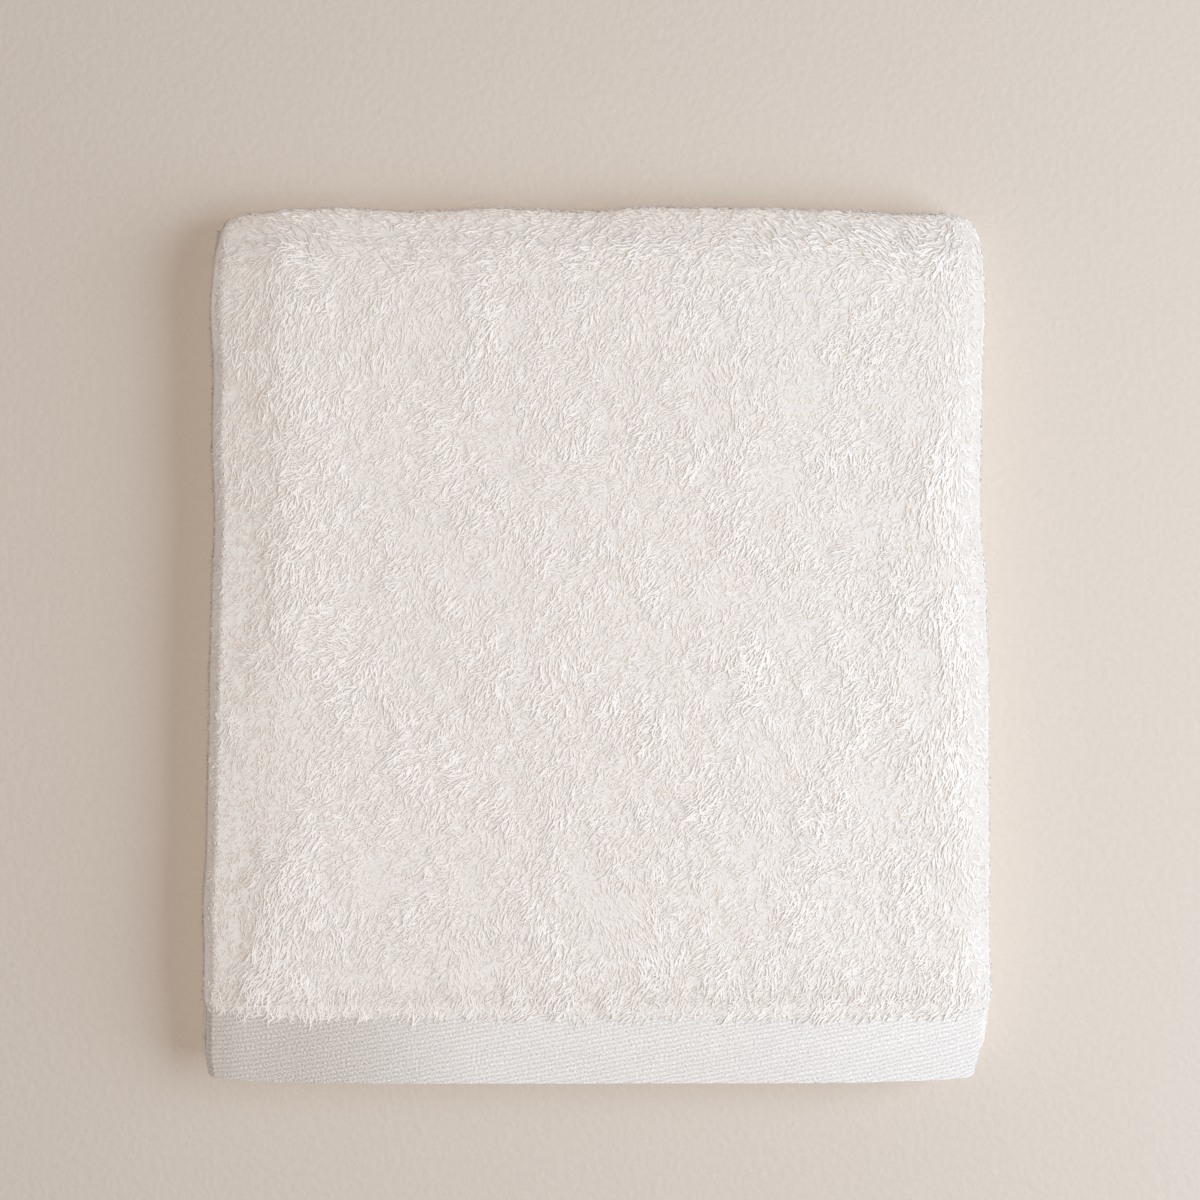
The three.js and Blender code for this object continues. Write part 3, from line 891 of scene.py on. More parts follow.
def cotton_group():
    """Cotton unevenness, built once: a soft mottling and the fine height of its fibres.

    Mottle is a large soft noise of the object's coordinates from 0 to 1, and Fibres is a fine
    one, drawn out by a second noise that bends it.
    """
    found = bpy.data.node_groups.get("Cotton Fibres")
    if found:
        return found
    group = bpy.data.node_groups.new("Cotton Fibres", "ShaderNodeTree")
    for title, default in (("Mottle Scale", 60.0), ("Fibre Scale", 2600.0)):
        socket = group.interface.new_socket(title, in_out="INPUT", socket_type="NodeSocketFloat")
        socket.default_value = default
    for title in ("Mottle", "Fibres"):
        group.interface.new_socket(title, in_out="OUTPUT", socket_type="NodeSocketFloat")
    nodes, links = group.nodes, group.links
    inputs = nodes.new("NodeGroupInput")
    outputs = nodes.new("NodeGroupOutput")
    place = nodes.new("ShaderNodeTexCoord")
    mottle = nodes.new("ShaderNodeTexNoise")
    mottle.inputs["Detail"].default_value = 3.0
    fibres = nodes.new("ShaderNodeTexNoise")
    fibres.inputs["Detail"].default_value = 2.0
    fibres.inputs["Distortion"].default_value = 1.5
    links.new(place.outputs["Object"], mottle.inputs["Vector"])
    links.new(place.outputs["Object"], fibres.inputs["Vector"])
    links.new(inputs.outputs["Mottle Scale"], mottle.inputs["Scale"])
    links.new(inputs.outputs["Fibre Scale"], fibres.inputs["Scale"])
    links.new(mottle.outputs["Fac"], outputs.inputs["Mottle"])
    links.new(fibres.outputs["Fac"], outputs.inputs["Fibres"])
    return group


def mix_colours(material, factor, first, second):
    """A Mix node of two colours, each a socket or a plain colour; returns its result."""
    tree = material.node_tree
    mix = tree.nodes.new("ShaderNodeMix")
    mix.data_type = "RGBA"
    mix.inputs["Factor"].default_value = 0.5
    tree.links.new(factor, mix.inputs["Factor"])
    for title, value in (("A", first), ("B", second)):
        if isinstance(value, bpy.types.NodeSocket):
            tree.links.new(value, mix.inputs[title])
        else:
            mix.inputs[title].default_value = (*value, 1.0)
    return mix.outputs["Result"]


def multiply_colours(material, first, second):
    """A Mix node that multiplies two colour sockets; returns its result."""
    tree = material.node_tree
    mix = tree.nodes.new("ShaderNodeMix")
    mix.data_type = "RGBA"
    mix.blend_type = "MULTIPLY"
    mix.inputs["Factor"].default_value = 1.0
    tree.links.new(first, mix.inputs["A"])
    tree.links.new(second, mix.inputs["B"])
    return mix.outputs["Result"]


def ranged(material, value, low, high, to_low, to_high):
    """A Map Range node from low..high to to_low..to_high, with clamping; returns its result."""
    tree = material.node_tree
    node = tree.nodes.new("ShaderNodeMapRange")
    node.inputs["From Min"].default_value = low
    node.inputs["From Max"].default_value = high
    node.inputs["To Min"].default_value = to_low
    node.inputs["To Max"].default_value = to_high
    tree.links.new(value, node.inputs["Value"])
    return node.outputs["Result"]


def attribute(material, name):
    """The value of a float attribute of the piece."""
    node = material.node_tree.nodes.new("ShaderNodeAttribute")
    node.attribute_name = name
    return node.outputs["Fac"]


def bump(material, shader, height, strength, distance):
    """A Bump node from a height to the shader's normal."""
    node = material.node_tree.nodes.new("ShaderNodeBump")
    node.inputs["Strength"].default_value = strength
    node.inputs["Distance"].default_value = distance
    material.node_tree.links.new(height, node.inputs["Height"])
    material.node_tree.links.new(node.outputs["Normal"], shader.inputs["Normal"])


def roughen(material, shader, cotton, smoothest, roughest):
    """Roughness that follows the cotton's fibres, between two values."""
    rough = ranged(material, cotton.outputs["Fibres"], *NOISE_RANGE, smoothest, roughest)
    material.node_tree.links.new(rough, shader.inputs["Roughness"])


def pile_material():
    """Terry yarn, made once: painted shade at the root, down each strand's sides and in hollows,
    near white at the tip, each strand a little off.
    """
    found = bpy.data.materials.get("terry_pile")
    if found:
        return found
    values = settings()
    material, shader = new_material("terry_pile")
    cotton = group_node(material, cotton_group())
    rise = ranged(material, attribute(material, "rise"), *ROOT_SHADE_RANGE, 0.0, 1.0)
    tip = np.array(values.tip_colour)
    dull, bright = tuple(tip * DULL_STRAND), tuple(tip * BRIGHT_STRAND)
    own = mix_colours(material, attribute(material, "tint"), dull, bright)
    # Painted shade down each strand's sides below its crown, darker and warmer in hollows.
    side = mix_colours(material, attribute(material, "full"), HOLLOW_SIDE_SHADE, TUFT_SIDE_SHADE)
    edge = mix_colours(material, attribute(material, "crown"), side, WHITE)
    body = multiply_colours(material, own, edge)
    # Painted shade over whole hollows of the pile.
    hollow_shading = mix_colours(material, attribute(material, "full"), HOLLOW_SHADE, WHITE)
    # Painted shade deep in the pile: each strand goes from the shaded root colour to its own.
    strand = mix_colours(material, rise, tuple(values.shaded_root_colour), body)
    colour = multiply_colours(material, strand, hollow_shading)
    material.node_tree.links.new(colour, shader.inputs["Base Color"])
    roughen(material, shader, cotton, 0.42, 0.55)
    bump(material, shader, cotton.outputs["Fibres"], 0.12, 0.15 * MM)
    shader.inputs["Sheen Weight"].default_value = 0.25
    shader.inputs["Sheen Roughness"].default_value = 0.4
    shader.inputs["Specular IOR Level"].default_value = 1.0
    return material


def ground_material():
    """The ground weave between the strands: cotton in the shaded colour of their roots, as painted
    shade deep in the pile.
    """
    material, shader = new_material("terry_ground")
    cotton = group_node(material, cotton_group())
    dark, light = (tuple(np.array(settings().shaded_root_colour) * shade) for shade in GROUND_SHADES)
    colour = mix_colours(material, cotton.outputs["Mottle"], dark, light)
    material.node_tree.links.new(colour, shader.inputs["Base Color"])
    roughen(material, shader, cotton, 0.85, 1.0)
    bump(material, shader, cotton.outputs["Fibres"], 0.5, 0.3 * MM)
    shader.inputs["Specular IOR Level"].default_value = 0.2
    return material


def twill_group():
    """The weave of the border, built once, from its thread and float attributes.

    Rib is the cosine of thread turns, from 0 to 1. Grain is a noise whose cells are as long as
    a float along a rib, and about a third of a rib wide.
    """
    found = bpy.data.node_groups.get("Twill Weave")
    if found:
        return found
    group = bpy.data.node_groups.new("Twill Weave", "ShaderNodeTree")
    for title in ("Rib", "Grain"):
        group.interface.new_socket(title, in_out="OUTPUT", socket_type="NodeSocketFloat")
    nodes, links = group.nodes, group.links
    outputs = nodes.new("NodeGroupOutput")
    thread = nodes.new("ShaderNodeAttribute")
    thread.attribute_name = "thread"
    run = nodes.new("ShaderNodeAttribute")
    run.attribute_name = "float"
    turns = nodes.new("ShaderNodeMath")
    turns.operation = "MULTIPLY"
    turns.inputs[1].default_value = TURN
    wave = nodes.new("ShaderNodeMath")
    wave.operation = "COSINE"
    half = nodes.new("ShaderNodeMath")
    half.operation = "MULTIPLY_ADD"
    half.inputs[1].default_value = 0.5
    half.inputs[2].default_value = 0.5
    fine = nodes.new("ShaderNodeMath")
    fine.operation = "MULTIPLY"
    fine.inputs[1].default_value = GRAINS_PER_RIB
    place = nodes.new("ShaderNodeCombineXYZ")
    grain = nodes.new("ShaderNodeTexNoise")
    grain.inputs["Scale"].default_value = 1.0
    grain.inputs["Detail"].default_value = 2.0
    links.new(thread.outputs["Fac"], turns.inputs[0])
    links.new(turns.outputs["Value"], wave.inputs[0])
    links.new(wave.outputs["Value"], half.inputs[0])
    links.new(thread.outputs["Fac"], fine.inputs[0])
    links.new(run.outputs["Fac"], place.inputs["X"])
    links.new(fine.outputs["Value"], place.inputs["Y"])
    links.new(place.outputs["Vector"], grain.inputs["Vector"])
    links.new(half.outputs["Value"], outputs.inputs["Rib"])
    links.new(grain.outputs["Fac"], outputs.inputs["Grain"])
    return group


def border_material():
    """The woven border: fine grainy ribs, with painted shade between them and a painted highlight
    on them.
    """
    material, shader = new_material("twill_border")
    cotton = group_node(material, cotton_group())
    cotton.inputs["Mottle Scale"].default_value = 90.0
    weave = group_node(material, twill_group())
    tone = np.array(settings().border_colour)
    grain = ranged(material, weave.outputs["Grain"], *NOISE_RANGE, 0.0, 1.0)
    own = mix_colours(material, grain, tuple(tone * DULL_GRAIN), tuple(tone * BRIGHT_GRAIN))
    # Painted shade between the ribs and a painted highlight on their crests.
    rib = mix_colours(material, weave.outputs["Rib"], RIB_VALLEY_SHADE, RIB_CREST_HIGHLIGHT)
    mottle = mix_colours(material, cotton.outputs["Mottle"], MOTTLE_DARK, MOTTLE_LIGHT)
    colour = multiply_colours(material, multiply_colours(material, own, rib), mottle)
    material.node_tree.links.new(colour, shader.inputs["Base Color"])
    roughen(material, shader, cotton, 0.7, 0.9)
    bump(material, shader, weave.outputs["Grain"], 1.0, 0.5 * MM)
    shader.inputs["Sheen Weight"].default_value = 0.15
    shader.inputs["Sheen Roughness"].default_value = 0.5
    shader.inputs["Specular IOR Level"].default_value = 0.3
    return material


def spread_steps(*stretches):
    """Stations along a line from (length, steps) pairs: their running ends, starting at 0."""
    parts = [np.zeros(1)]
    start = 0.0
    for length, steps in stretches:
        parts.append(start + length * np.arange(1, steps + 1) / steps)
        start += length
    return np.concatenate(parts)


def rib_phase(across, along):
    """The twill's phase in turns: distance square to ribs that rise to the right, over pitch."""
    values = settings()
    square = along * math.cos(values.rib_angle) + across * math.sin(values.rib_angle)
    return square / values.rib_pitch


def cloth_columns():
    """Stations across the cloth: coarse ones, fine ones, and each coarse one's number in those."""
    flap = TOWEL_WIDTH / 2 - TERRY_HALF_FACE - TERRY_FOLD
    side = spread_steps((TERRY_FOLD, FOLD_COLUMNS), (flap, FLAP_COLUMNS))
    left = -(TERRY_HALF_FACE + side[:0:-1])
    right = TERRY_HALF_FACE + side[1:]
    fine_count = FACE_COLUMNS * FINE_PER_COLUMN
    coarse_face = np.linspace(-TERRY_HALF_FACE, TERRY_HALF_FACE, FACE_COLUMNS + 1)
    fine_face = np.linspace(-TERRY_HALF_FACE, TERRY_HALF_FACE, fine_count + 1)
    wings = len(left)
    numbers = [
        np.arange(wings),
        wings + np.arange(FACE_COLUMNS + 1) * FINE_PER_COLUMN,
        wings + fine_count + 1 + np.arange(len(right)),
    ]
    coarse = np.concatenate([left, coarse_face, right])
    fine = np.concatenate([left, fine_face, right])
    return coarse, fine, np.concatenate(numbers)


def cloth_rows():
    """Stations along the cloth: coarse ones up to the outer border, and fine ones in it."""
    border_start = PILE_END - BORDER_BLEND / 2
    coarse = spread_steps(
        (BORDER_LENGTH, 8),
        (BORDER_BLEND, 3),
        (INNER_LENGTH - BORDER_LENGTH - BORDER_BLEND, 26),
        (math.pi * FRONT_RADIUS, 14),
        (BOTTOM_LENGTH, 28),
        (math.pi * BACK_RADIUS, 18),
        (border_start - TOP_START, 30),
    )
    fine = border_start + spread_steps((BORDER_LENGTH + BORDER_BLEND / 2, BORDER_ROWS))
    return coarse[:-1], fine


def cloth_side(columns, rows, side):
    """One side of a stretch of cloth: points, soft looks, rib phase, floats and border share.

    It lies half the cloth's thickness off its middle, and the border's ribs add the cosine of
    their phase to that.
    """
    values = settings()
    across, along = np.meshgrid(columns, rows)
    border = border_share(along)
    phase = with_waves(rib_phase(across, along), across, along, RIB_WAVERS)
    rib = 0.5 + 0.5 * np.cos(TURN * phase)
    lift = values.bed_thick / 2 * (1 - border) + BORDER_THICK / 2 * border
    lift = lift + values.rib_height * (rib - 0.5) * border
    placed, _, soft = face_normals(across, along, lift * side, side)
    lean = np.zeros(len(placed))
    for row in BORDER_LEANS:
        come_in = (placed[:, 0] - row["from"] * MM) / (row["over"] * MM)
        lean += row["lean"] * smooth(come_in)
    soft[:, 0] += lean * border.ravel() * (soft[:, 2] > 0.5)
    floats = across / values.float_length
    return placed, soft, phase.ravel(), floats.ravel(), border.ravel()


def grid_faces(grid):
    """The four-cornered faces of a grid of point numbers."""
    corners = [grid[:-1, :-1], grid[:-1, 1:], grid[1:, 1:], grid[1:, :-1]]
    return np.stack(corners, axis=-1).reshape(-1, 4)


def fan_faces(coarse, fine, numbers):
    """Triangles that join a coarse row of point numbers to a fine one, as two fans a step."""
    faces = []
    for j in range(len(coarse) - 1):
        run = fine[numbers[j] : numbers[j + 1] + 1]
        middle = len(run) // 2
        faces.append((coarse[j], coarse[j + 1], run[middle]))
        for k in range(len(run) - 1):
            faces.append((coarse[j + (k >= middle)], run[k + 1], run[k]))
    return np.array(faces)


def rim_loop(terry, border):
    """The numbers of the points once round the edge of one side of the cloth.

    They go along the inner hem, up one selvedge, along the outer hem and down the other one.
    """
    return np.concatenate(
        [
            terry[0, :-1],
            terry[:, -1],
            border[:-1, -1],
            border[-1, :0:-1],
            border[::-1, 0],
            terry[:0:-1, 0],
        ]
    )


class TOWEL_OT_cloth(bpy.types.Operator):
    """Build the ground cloth with its two woven borders, as one thin closed sheet"""

    bl_idname = "folded_towel.cloth"
    bl_label = "Cloth and Border"

    def execute(self, context):
        """Two grids of points, face and back, joined round the hems and selvedges by a rim.

        The terry has coarse columns. The outer border has some fine columns for each coarse one
        across its face, and fans of triangles join the two where they meet.
        """
        coarse, fine, numbers = cloth_columns()
        terry_rows, border_rows = cloth_rows()
        stretches = []
        faces = []
        rims = []
        count = 0
        for side in (1.0, -1.0):
            grids = []
            for columns, rows in ((coarse, terry_rows), (fine, border_rows)):
                stretches.append(cloth_side(columns, rows, side))
                size = len(rows) * len(columns)
                grids.append((count + np.arange(size)).reshape(len(rows), len(columns)))
                count += size
            terry, border = grids
            fans = fan_faces(terry[-1], border[0], numbers)
            for part in (grid_faces(terry), grid_faces(border), fans):
                faces.append(part[:, ::-1] if side > 0 else part)
            rims.append(rim_loop(terry, border))
        face_rim, back_rim = rims
        edges = [face_rim, np.roll(face_rim, -1), np.roll(back_rim, -1), back_rim]
        faces.append(np.stack(edges, axis=-1))
        corners = np.concatenate([part.ravel() for part in faces])
        sizes = np.concatenate([np.full(len(part), part.shape[1]) for part in faces])
        points, looks, threads, floats, borders = map(np.concatenate, zip(*stretches))
        attributes = (("thread", threads), ("float", floats))
        piece = write_mesh("towel_cloth", points, corners, sizes, ground_material(), attributes)
        piece.data.materials.append(border_material())
        piece.data.normals_split_custom_set_from_vertices(unit(looks))
        first_corners = corners[np.cumsum(sizes) - sizes]
        slots = (borders[first_corners] > 0.5).astype(np.int32)
        piece.data.polygons.foreach_set("material_index", slots)
        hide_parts("towel")
        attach(piece, "root")
        return {"FINISHED"}


def scatter(low_across, high_across, low_along, high_along, spacing, rng):
    """Roots on a jittered, staggered grid over a stretch of the flat cloth."""
    rows = max(1, int((high_along - low_along) / (spacing * ROW_SPACING)))
    columns = max(1, int((high_across - low_across) / (spacing * COLUMN_SPACING)))
    i, j = np.meshgrid(np.arange(columns), np.arange(rows))
    i = i + 0.5 * (j % 2) + rng.uniform(-ROOT_JITTER, ROOT_JITTER, i.shape)
    j = j + 0.5 + rng.uniform(-ROOT_JITTER, ROOT_JITTER, j.shape)
    across = low_across + (high_across - low_across) * ((i + 0.25) / columns).ravel()
    along = low_along + (high_along - low_along) * (j / rows).ravel()
    inside = (across > low_across) & (across < high_across)
    return across[inside], along[inside]


def nap_at(x, y):
    """The way the pile lies seen from above, at x and y: a unit direction, length, flatness.

    The direction is the main one, turned a little by slow waves, and drawn to each patch's by
    a weight that is large inside the patch and falls off fast past its reach. In a whorl the
    direction turns round the patch's middle.
    """
    warp_x = with_waves(x, x, y, NAP_BENDS_X, MM)
    warp_y = with_waves(y, x, y, NAP_BENDS_Y, MM)
    heading = with_waves(math.radians(NAP_HEADING), x, y, NAP_TURNS)
    dx, dy = np.cos(heading), np.sin(heading)
    longer = np.full_like(x, settings().strand_length)
    flat = np.full_like(x, NAP_FLATNESS)
    for patch in NAP_PATCHES:
        off_x = warp_x - patch["x"] * MM
        off_y = warp_y - patch["y"] * MM
        away = (off_x / MM / patch["rx"]) ** 2 + (off_y / MM / patch["ry"]) ** 2
        weight = PATCH_PULL * np.exp(-(away**PATCH_EDGE))
        angle = math.radians(patch["heading"])
        if patch["whorl"]:
            angle = np.arctan2(off_y, off_x) + patch["whorl"] * WHORL_TURN
        dx = dx + weight * np.cos(angle)
        dy = dy + weight * np.sin(angle)
        share = weight / (1 + weight)
        longer += (patch["long"] * MM - longer) * share
        flat += (patch["flat"] - flat) * share
        size = np.hypot(dx, dy) + 1e-9
        dx, dy = dx / size, dy / size
    return dx, dy, longer, flat


def fullness_at(x, y):
    """How full the pile stands at x and y: 0 in the deepest hollows, 1 on the longest tufts.

    The plain fullness, plus waves of three lengths, plus a soft bell for each tuft's row.
    """
    warp_x = with_waves(x, x, y, TUFT_BENDS_X, MM)
    warp_y = with_waves(y, x, y, TUFT_BENDS_Y, MM)
    full = with_waves(PLAIN_FULLNESS, x, y, FULLNESS_WAVES)
    for tuft in TUFTS:
        off_x = (warp_x / MM - tuft["x"]) / tuft["rx"]
        off_y = (warp_y / MM - tuft["y"]) / tuft["ry"]
        full += TUFT_FULLNESS * tuft["full"] * np.exp(-(off_x**2) - off_y**2)
    return smooth(full)


def fullness_slope(x, y):
    """How much the fullness grows per metre along x and along y."""
    step = 0.8 * MM
    slope_x = (fullness_at(x + step, y) - fullness_at(x - step, y)) / (2 * step)
    slope_y = (fullness_at(x, y + step) - fullness_at(x, y - step)) / (2 * step)
    return slope_x, slope_y


def tuft_at(across, along, size):
    """The nearest tuft of each root: the way to it, and two random numbers that belong to it.

    Tufts stand on a jittered grid, and each root looks at the nine cells around it. The table
    of random numbers repeats after cell_count cells.
    """
    cell_count = 128
    table = np.random.default_rng(SEED + 5).uniform(0, 1, (cell_count, cell_count, 4))
    cell_i = np.floor(across / size).astype(int)
    cell_j = np.floor(along / size).astype(int)
    best = np.full(across.shape, np.inf)
    off_across = np.zeros_like(across)
    off_along = np.zeros_like(across)
    first = np.zeros_like(across)
    second = np.zeros_like(across)
    for di in (-1, 0, 1):
        for dj in (-1, 0, 1):
            i, j = cell_i + di, cell_j + dj
            own = table[i % cell_count, j % cell_count]
            to_across = (i + own[:, 0]) * size - across
            to_along = (j + own[:, 1]) * size - along
            away = to_across**2 + to_along**2
            near = away < best
            best = np.where(near, away, best)
            off_across = np.where(near, to_across, off_across)
            off_along = np.where(near, to_along, off_along)
            first = np.where(near, own[:, 2], first)
            second = np.where(near, own[:, 3], second)
    return off_across, off_along, first, second


def strand_points(root, first_leg, second_leg, wide, high, rings):
    """Points of many pointed strands on the flat cloth, their looks, rise and crown.

    The middle line is the curve root + 2 t (1 - t) first + t squared second, a parabola. It
    begins and ends in a point, and three-sided rings stand round it in between. Rise is how far
    along its strand a point is, and crown is 1 on top of it and 0 beside it.
    """
    count = len(root)
    steps = np.array([0.0, *rings, 1.0])
    t = steps[None, :, None]
    middle = root[:, None] + 2 * t * (1 - t) * first_leg[:, None] + t**2 * second_leg[:, None]
    heading = 2 * (1 - 2 * t) * first_leg[:, None] + 2 * t * second_leg[:, None]
    heading = unit(heading[:, 1:-1])
    level = np.stack([-heading[..., 1], heading[..., 0], 0 * heading[..., 0]], axis=-1)
    sideways = unit(level, 1e-9)
    upward = np.cross(heading, sideways)
    angles = np.radians([90, 210, 330])[None, None, :, None]
    out = np.cos(angles) * sideways[:, :, None]
    up = np.sin(angles) * upward[:, :, None]
    ring = middle[:, 1:-1, None] + out * wide[:, None, None, None] + up * high[:, None, None, None]
    points = np.concatenate([middle[:, :1], ring.reshape(count, -1, 3), middle[:, -1:]], axis=1)
    ends = np.zeros((count, 1, 3))
    looks = np.concatenate([ends, (out + up).reshape(count, -1, 3), ends], axis=1)
    # Rise and crown place the painted shade: at the root, and down the sides below the crown.
    rise = np.concatenate([[0.0], np.repeat(steps[1:-1], 3), [1.0]])
    crown = np.concatenate([[ROOT_CROWN], np.tile([1.0, 0.0, 0.0], len(rings)), [TIP_CROWN]])
    return points, looks, rise, crown


def strand_faces(count, ring_count):
    """Triangles of many strands: a fan from the root, sides between rings, a fan to the tip."""
    tip = 1 + ring_count * 3
    faces = []
    for side in range(3):
        here, after = 1 + side, 1 + (side + 1) % 3
        faces.append((0, here, after))
        for ring in range(ring_count - 1):
            near, far = ring * 3, ring * 3 + 3
            faces.append((near + here, far + after, near + after))
            faces.append((near + here, far + here, far + after))
        last = ring_count * 3 - 3
        faces.append((last + here, tip, last + after))
    faces = np.array(faces)
    return (faces[None] + (np.arange(count) * (tip + 1))[:, None, None]).reshape(-1)


def turned(across, along, angle):
    """Directions on the flat cloth, turned by an angle."""
    cosine, sine = np.cos(angle), np.sin(angle)
    return across * cosine - along * sine, across * sine + along * cosine


def lie_at(across, along, rng):
    """How the strands on these roots lie on the cloth, as named arrays.

    The maps are read at a root's place along Y on its own panel. The strands go the nap's way,
    turned with their tuft and a little on their own: more where the pile is loose, which it is
    in hollows, and most on a folded edge.
    """
    lower = (along > FRONT_START) & (along < BACK_START)
    facing_up = np.where(lower, -1.0, 1.0)
    unrolled = np.where(along < BACK_START, along - BOTTOM_START, TOP_START - along)
    map_y = np.where(along < BACK_START, FRONT_CENTRE_Y, BACK_CENTRE_Y) + unrolled
    dx, dy, reach, flat = nap_at(across, map_y)
    full = fullness_at(across, map_y)
    slope_x, slope_y = fullness_slope(across, map_y)
    to_across, to_along, tuft_turn, tuft_rise = tuft_at(across, along, settings().tuft_size)
    rim = smooth((np.abs(across) - TERRY_HALF_FACE + RIM_INSIDE) / RIM_BLEND)
    loose = 1 - full + rim
    turn = (tuft_turn - 0.5) * (TUFT_TURN + LOOSE_TURN * loose)
    turn += rng.normal(0, OWN_TURN, len(across)) * (1 + loose)
    turn += rim * rng.normal(0, RIM_TURN, len(across))
    way_x, way_y = turned(dx, dy, turn)
    return {
        "go_across": way_x,
        "go_along": -way_y * facing_up,
        "reach": reach,
        "flat": flat,
        "full": full,
        "rim": rim,
        "to_across": to_across,
        "to_along": to_along,
        "tuft_turn": tuft_turn,
        "tuft_rise": tuft_rise,
        "tilt_across": TUFT_RELIEF * slope_x,
        "tilt_along": TUFT_RELIEF * slope_y * facing_up,
    }


def strand_legs(across, along, lie, rng, longer, under, stand):
    """The roots and both legs of the strands' middle lines, on the flat cloth.

    A strand rises out of the bed, lies over its neighbours, and dips to its tip between them,
    which is drawn to the middle of its tuft. Some tips come back to one side, in a hook.
    """
    values = settings()
    count = len(across)
    full, rim = lie["full"], lie["rim"]
    go_across, go_along = lie["go_across"], lie["go_along"]
    bent_across, bent_along = turned(go_across, go_along, rng.normal(0, STRAND_BEND, count))
    reach = lie["reach"] * longer * rng.uniform(*REACH_RANGE, count)
    reach *= HOLLOW_REACH + TUFT_REACH * full
    reach *= 1 - RIM_SHORTER * rim
    bed = values.bed_thick / 2
    room = TERRY_THICK / 2 - bed
    relief = TUFT_RELIEF * (full - LEVEL_FULLNESS) * (1 - rim)
    crest = CREST + CREST_BY_TUFT * (lie["tuft_rise"] - 0.5) + rng.normal(0, CREST_SPREAD, count)
    crest = room * crest * (1 - UNDER_LOWER * under)
    crest += STRAY_CREST * stand * rng.uniform(*STRAY_CREST_RANGE, count)
    pull = TUFT_PULL * rng.uniform(*TUFT_PULL_RANGE, count) * (1 - UNDER_LESS_PULL * under)
    tip_across = go_across * reach + lie["to_across"] * pull
    tip_along = go_along * reach + lie["to_along"] * pull
    curl = (rng.uniform(0, 1, count) < values.hook_share) * rng.uniform(*HOOK_RANGE, count)
    aside = rng.choice([-1.0, 1.0], count) * HOOK_WIDTH
    tip_across -= curl * (HOOK_BACK * go_across * reach + go_along * aside)
    tip_along -= curl * (HOOK_BACK * go_along * reach - go_across * aside)
    root_leg = reach * ROOT_LEG * (1 + HOOK_LEG * curl)
    tip_lift = TIP_SHARE * room + (1 - lie["flat"]) * LOOSE_TIP + rng.normal(0, TIP_SPREAD, count)
    tip_lift += stand * rng.uniform(*STRAY_TIP_RANGE, count)
    root = np.stack([across, along, bed - ROOT_DEPTH + relief], axis=-1)
    first_leg = np.stack([bent_across * root_leg, bent_along * root_leg, crest + ROOT_DEPTH], -1)
    second_leg = np.stack([tip_across, tip_along, tip_lift + ROOT_DEPTH], -1)
    return root, first_leg, second_leg


def place_strands(points, looks, lie):
    """Strands of the flat cloth folded into place, with the way they are shaded.

    A strand is shaded partly as the rod it is, and partly as the soft nap around it, which
    tilts with the tufts, and its rims are softened as the cloth's are.
    """
    each = points.shape[1]
    points = points.reshape(-1, 3)
    points[:, 2] -= (settings().bed_thick / 2 - BORDER_THICK / 2) * border_share(points[:, 1])
    looks = looks.reshape(-1, 3) * (1 - SOFTNESS) + np.array([0, 0, SOFTNESS])
    looks[:, 0] -= np.repeat(lie["tilt_across"], each) * SOFTNESS
    looks[:, 1] += np.repeat(lie["tilt_along"], each) * SOFTNESS
    placed, true, soft = face_normals(points[:, 0], points[:, 1], points[:, 2])
    above = points + LOOK_STEP * looks
    looks = unit(fold(above[:, 0], above[:, 1], above[:, 2]) - placed)
    placed[:, 2] = np.maximum(placed[:, 2], FLOOR_CLEARANCE)
    return placed, unit(looks + soft - true)


def grow_pile(name, roots, rng, rings, thick=1.0, longer=1.0, under=0.0, stand=0.0):
    """One piece of pile: a curved strand on each root, along the nap and drawn to its tuft.

    Under strands keep low and fill the gaps, and stand lifts stray fibres off the rest. A ring
    of three corners is as wide as its circle times the cosine of 30 degrees.
    """
    values = settings()
    across, along = roots
    count = len(across)
    lie = lie_at(across, along, rng)
    legs = strand_legs(across, along, lie, rng, longer, under, stand)
    swell = thick * rng.uniform(*THICKNESS_RANGE, count)
    wide = values.strand_width / 2 * swell / math.cos(math.radians(30))
    high = values.strand_height / 2 * swell
    points, looks, rise, crown = strand_points(*legs, wide, high, rings)
    each = points.shape[1]
    placed, looks = place_strands(points, looks, lie)
    corners = strand_faces(count, len(rings))
    sizes = np.full(len(corners) // 3, 3)
    tint = clamp01(TUFT_TINT * lie["tuft_turn"] + rng.uniform(0, OWN_TINT, count))
    # Rise, crown and full carry the painted shade: at the root, down the sides and in hollows.
    attributes = (
        ("rise", np.tile(rise, count)),
        ("crown", np.tile(crown, count)),
        ("tint", np.repeat(tint, each)),
        ("full", np.repeat(lie["full"], each)),
    )
    piece = write_mesh(name, placed, corners, sizes, pile_material(), attributes)
    piece.data.normals_split_custom_set_from_vertices(looks)
    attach(piece, "root")
    return piece


def grow_in_parts(name, count, roots, rng, rings, kind):
    """Pile over one stretch as several pieces, each a band of the stretch's length."""
    across, along = roots
    cuts = np.linspace(TOP_START - BACK_OVERLAP - MM, PILE_END + MM, count + 1)
    pieces = []
    for number in range(count):
        part = (along > cuts[number]) & (along <= cuts[number + 1])
        roots = across[part], along[part]
        pieces.append(grow_pile(f"{name}_{number + 1}", roots, rng, rings, **kind))
    return pieces


def scatter_sides(near, far, start, end, spacing, rng):
    """Roots on both sides of the cloth, from near to far off its middle."""
    sides = []
    for side in (-1, 1):
        low, high = sorted((side * near, side * far))
        sides.append(scatter(low, high, start, end, spacing, rng))
    return tuple(np.concatenate(pair) for pair in zip(*sides))


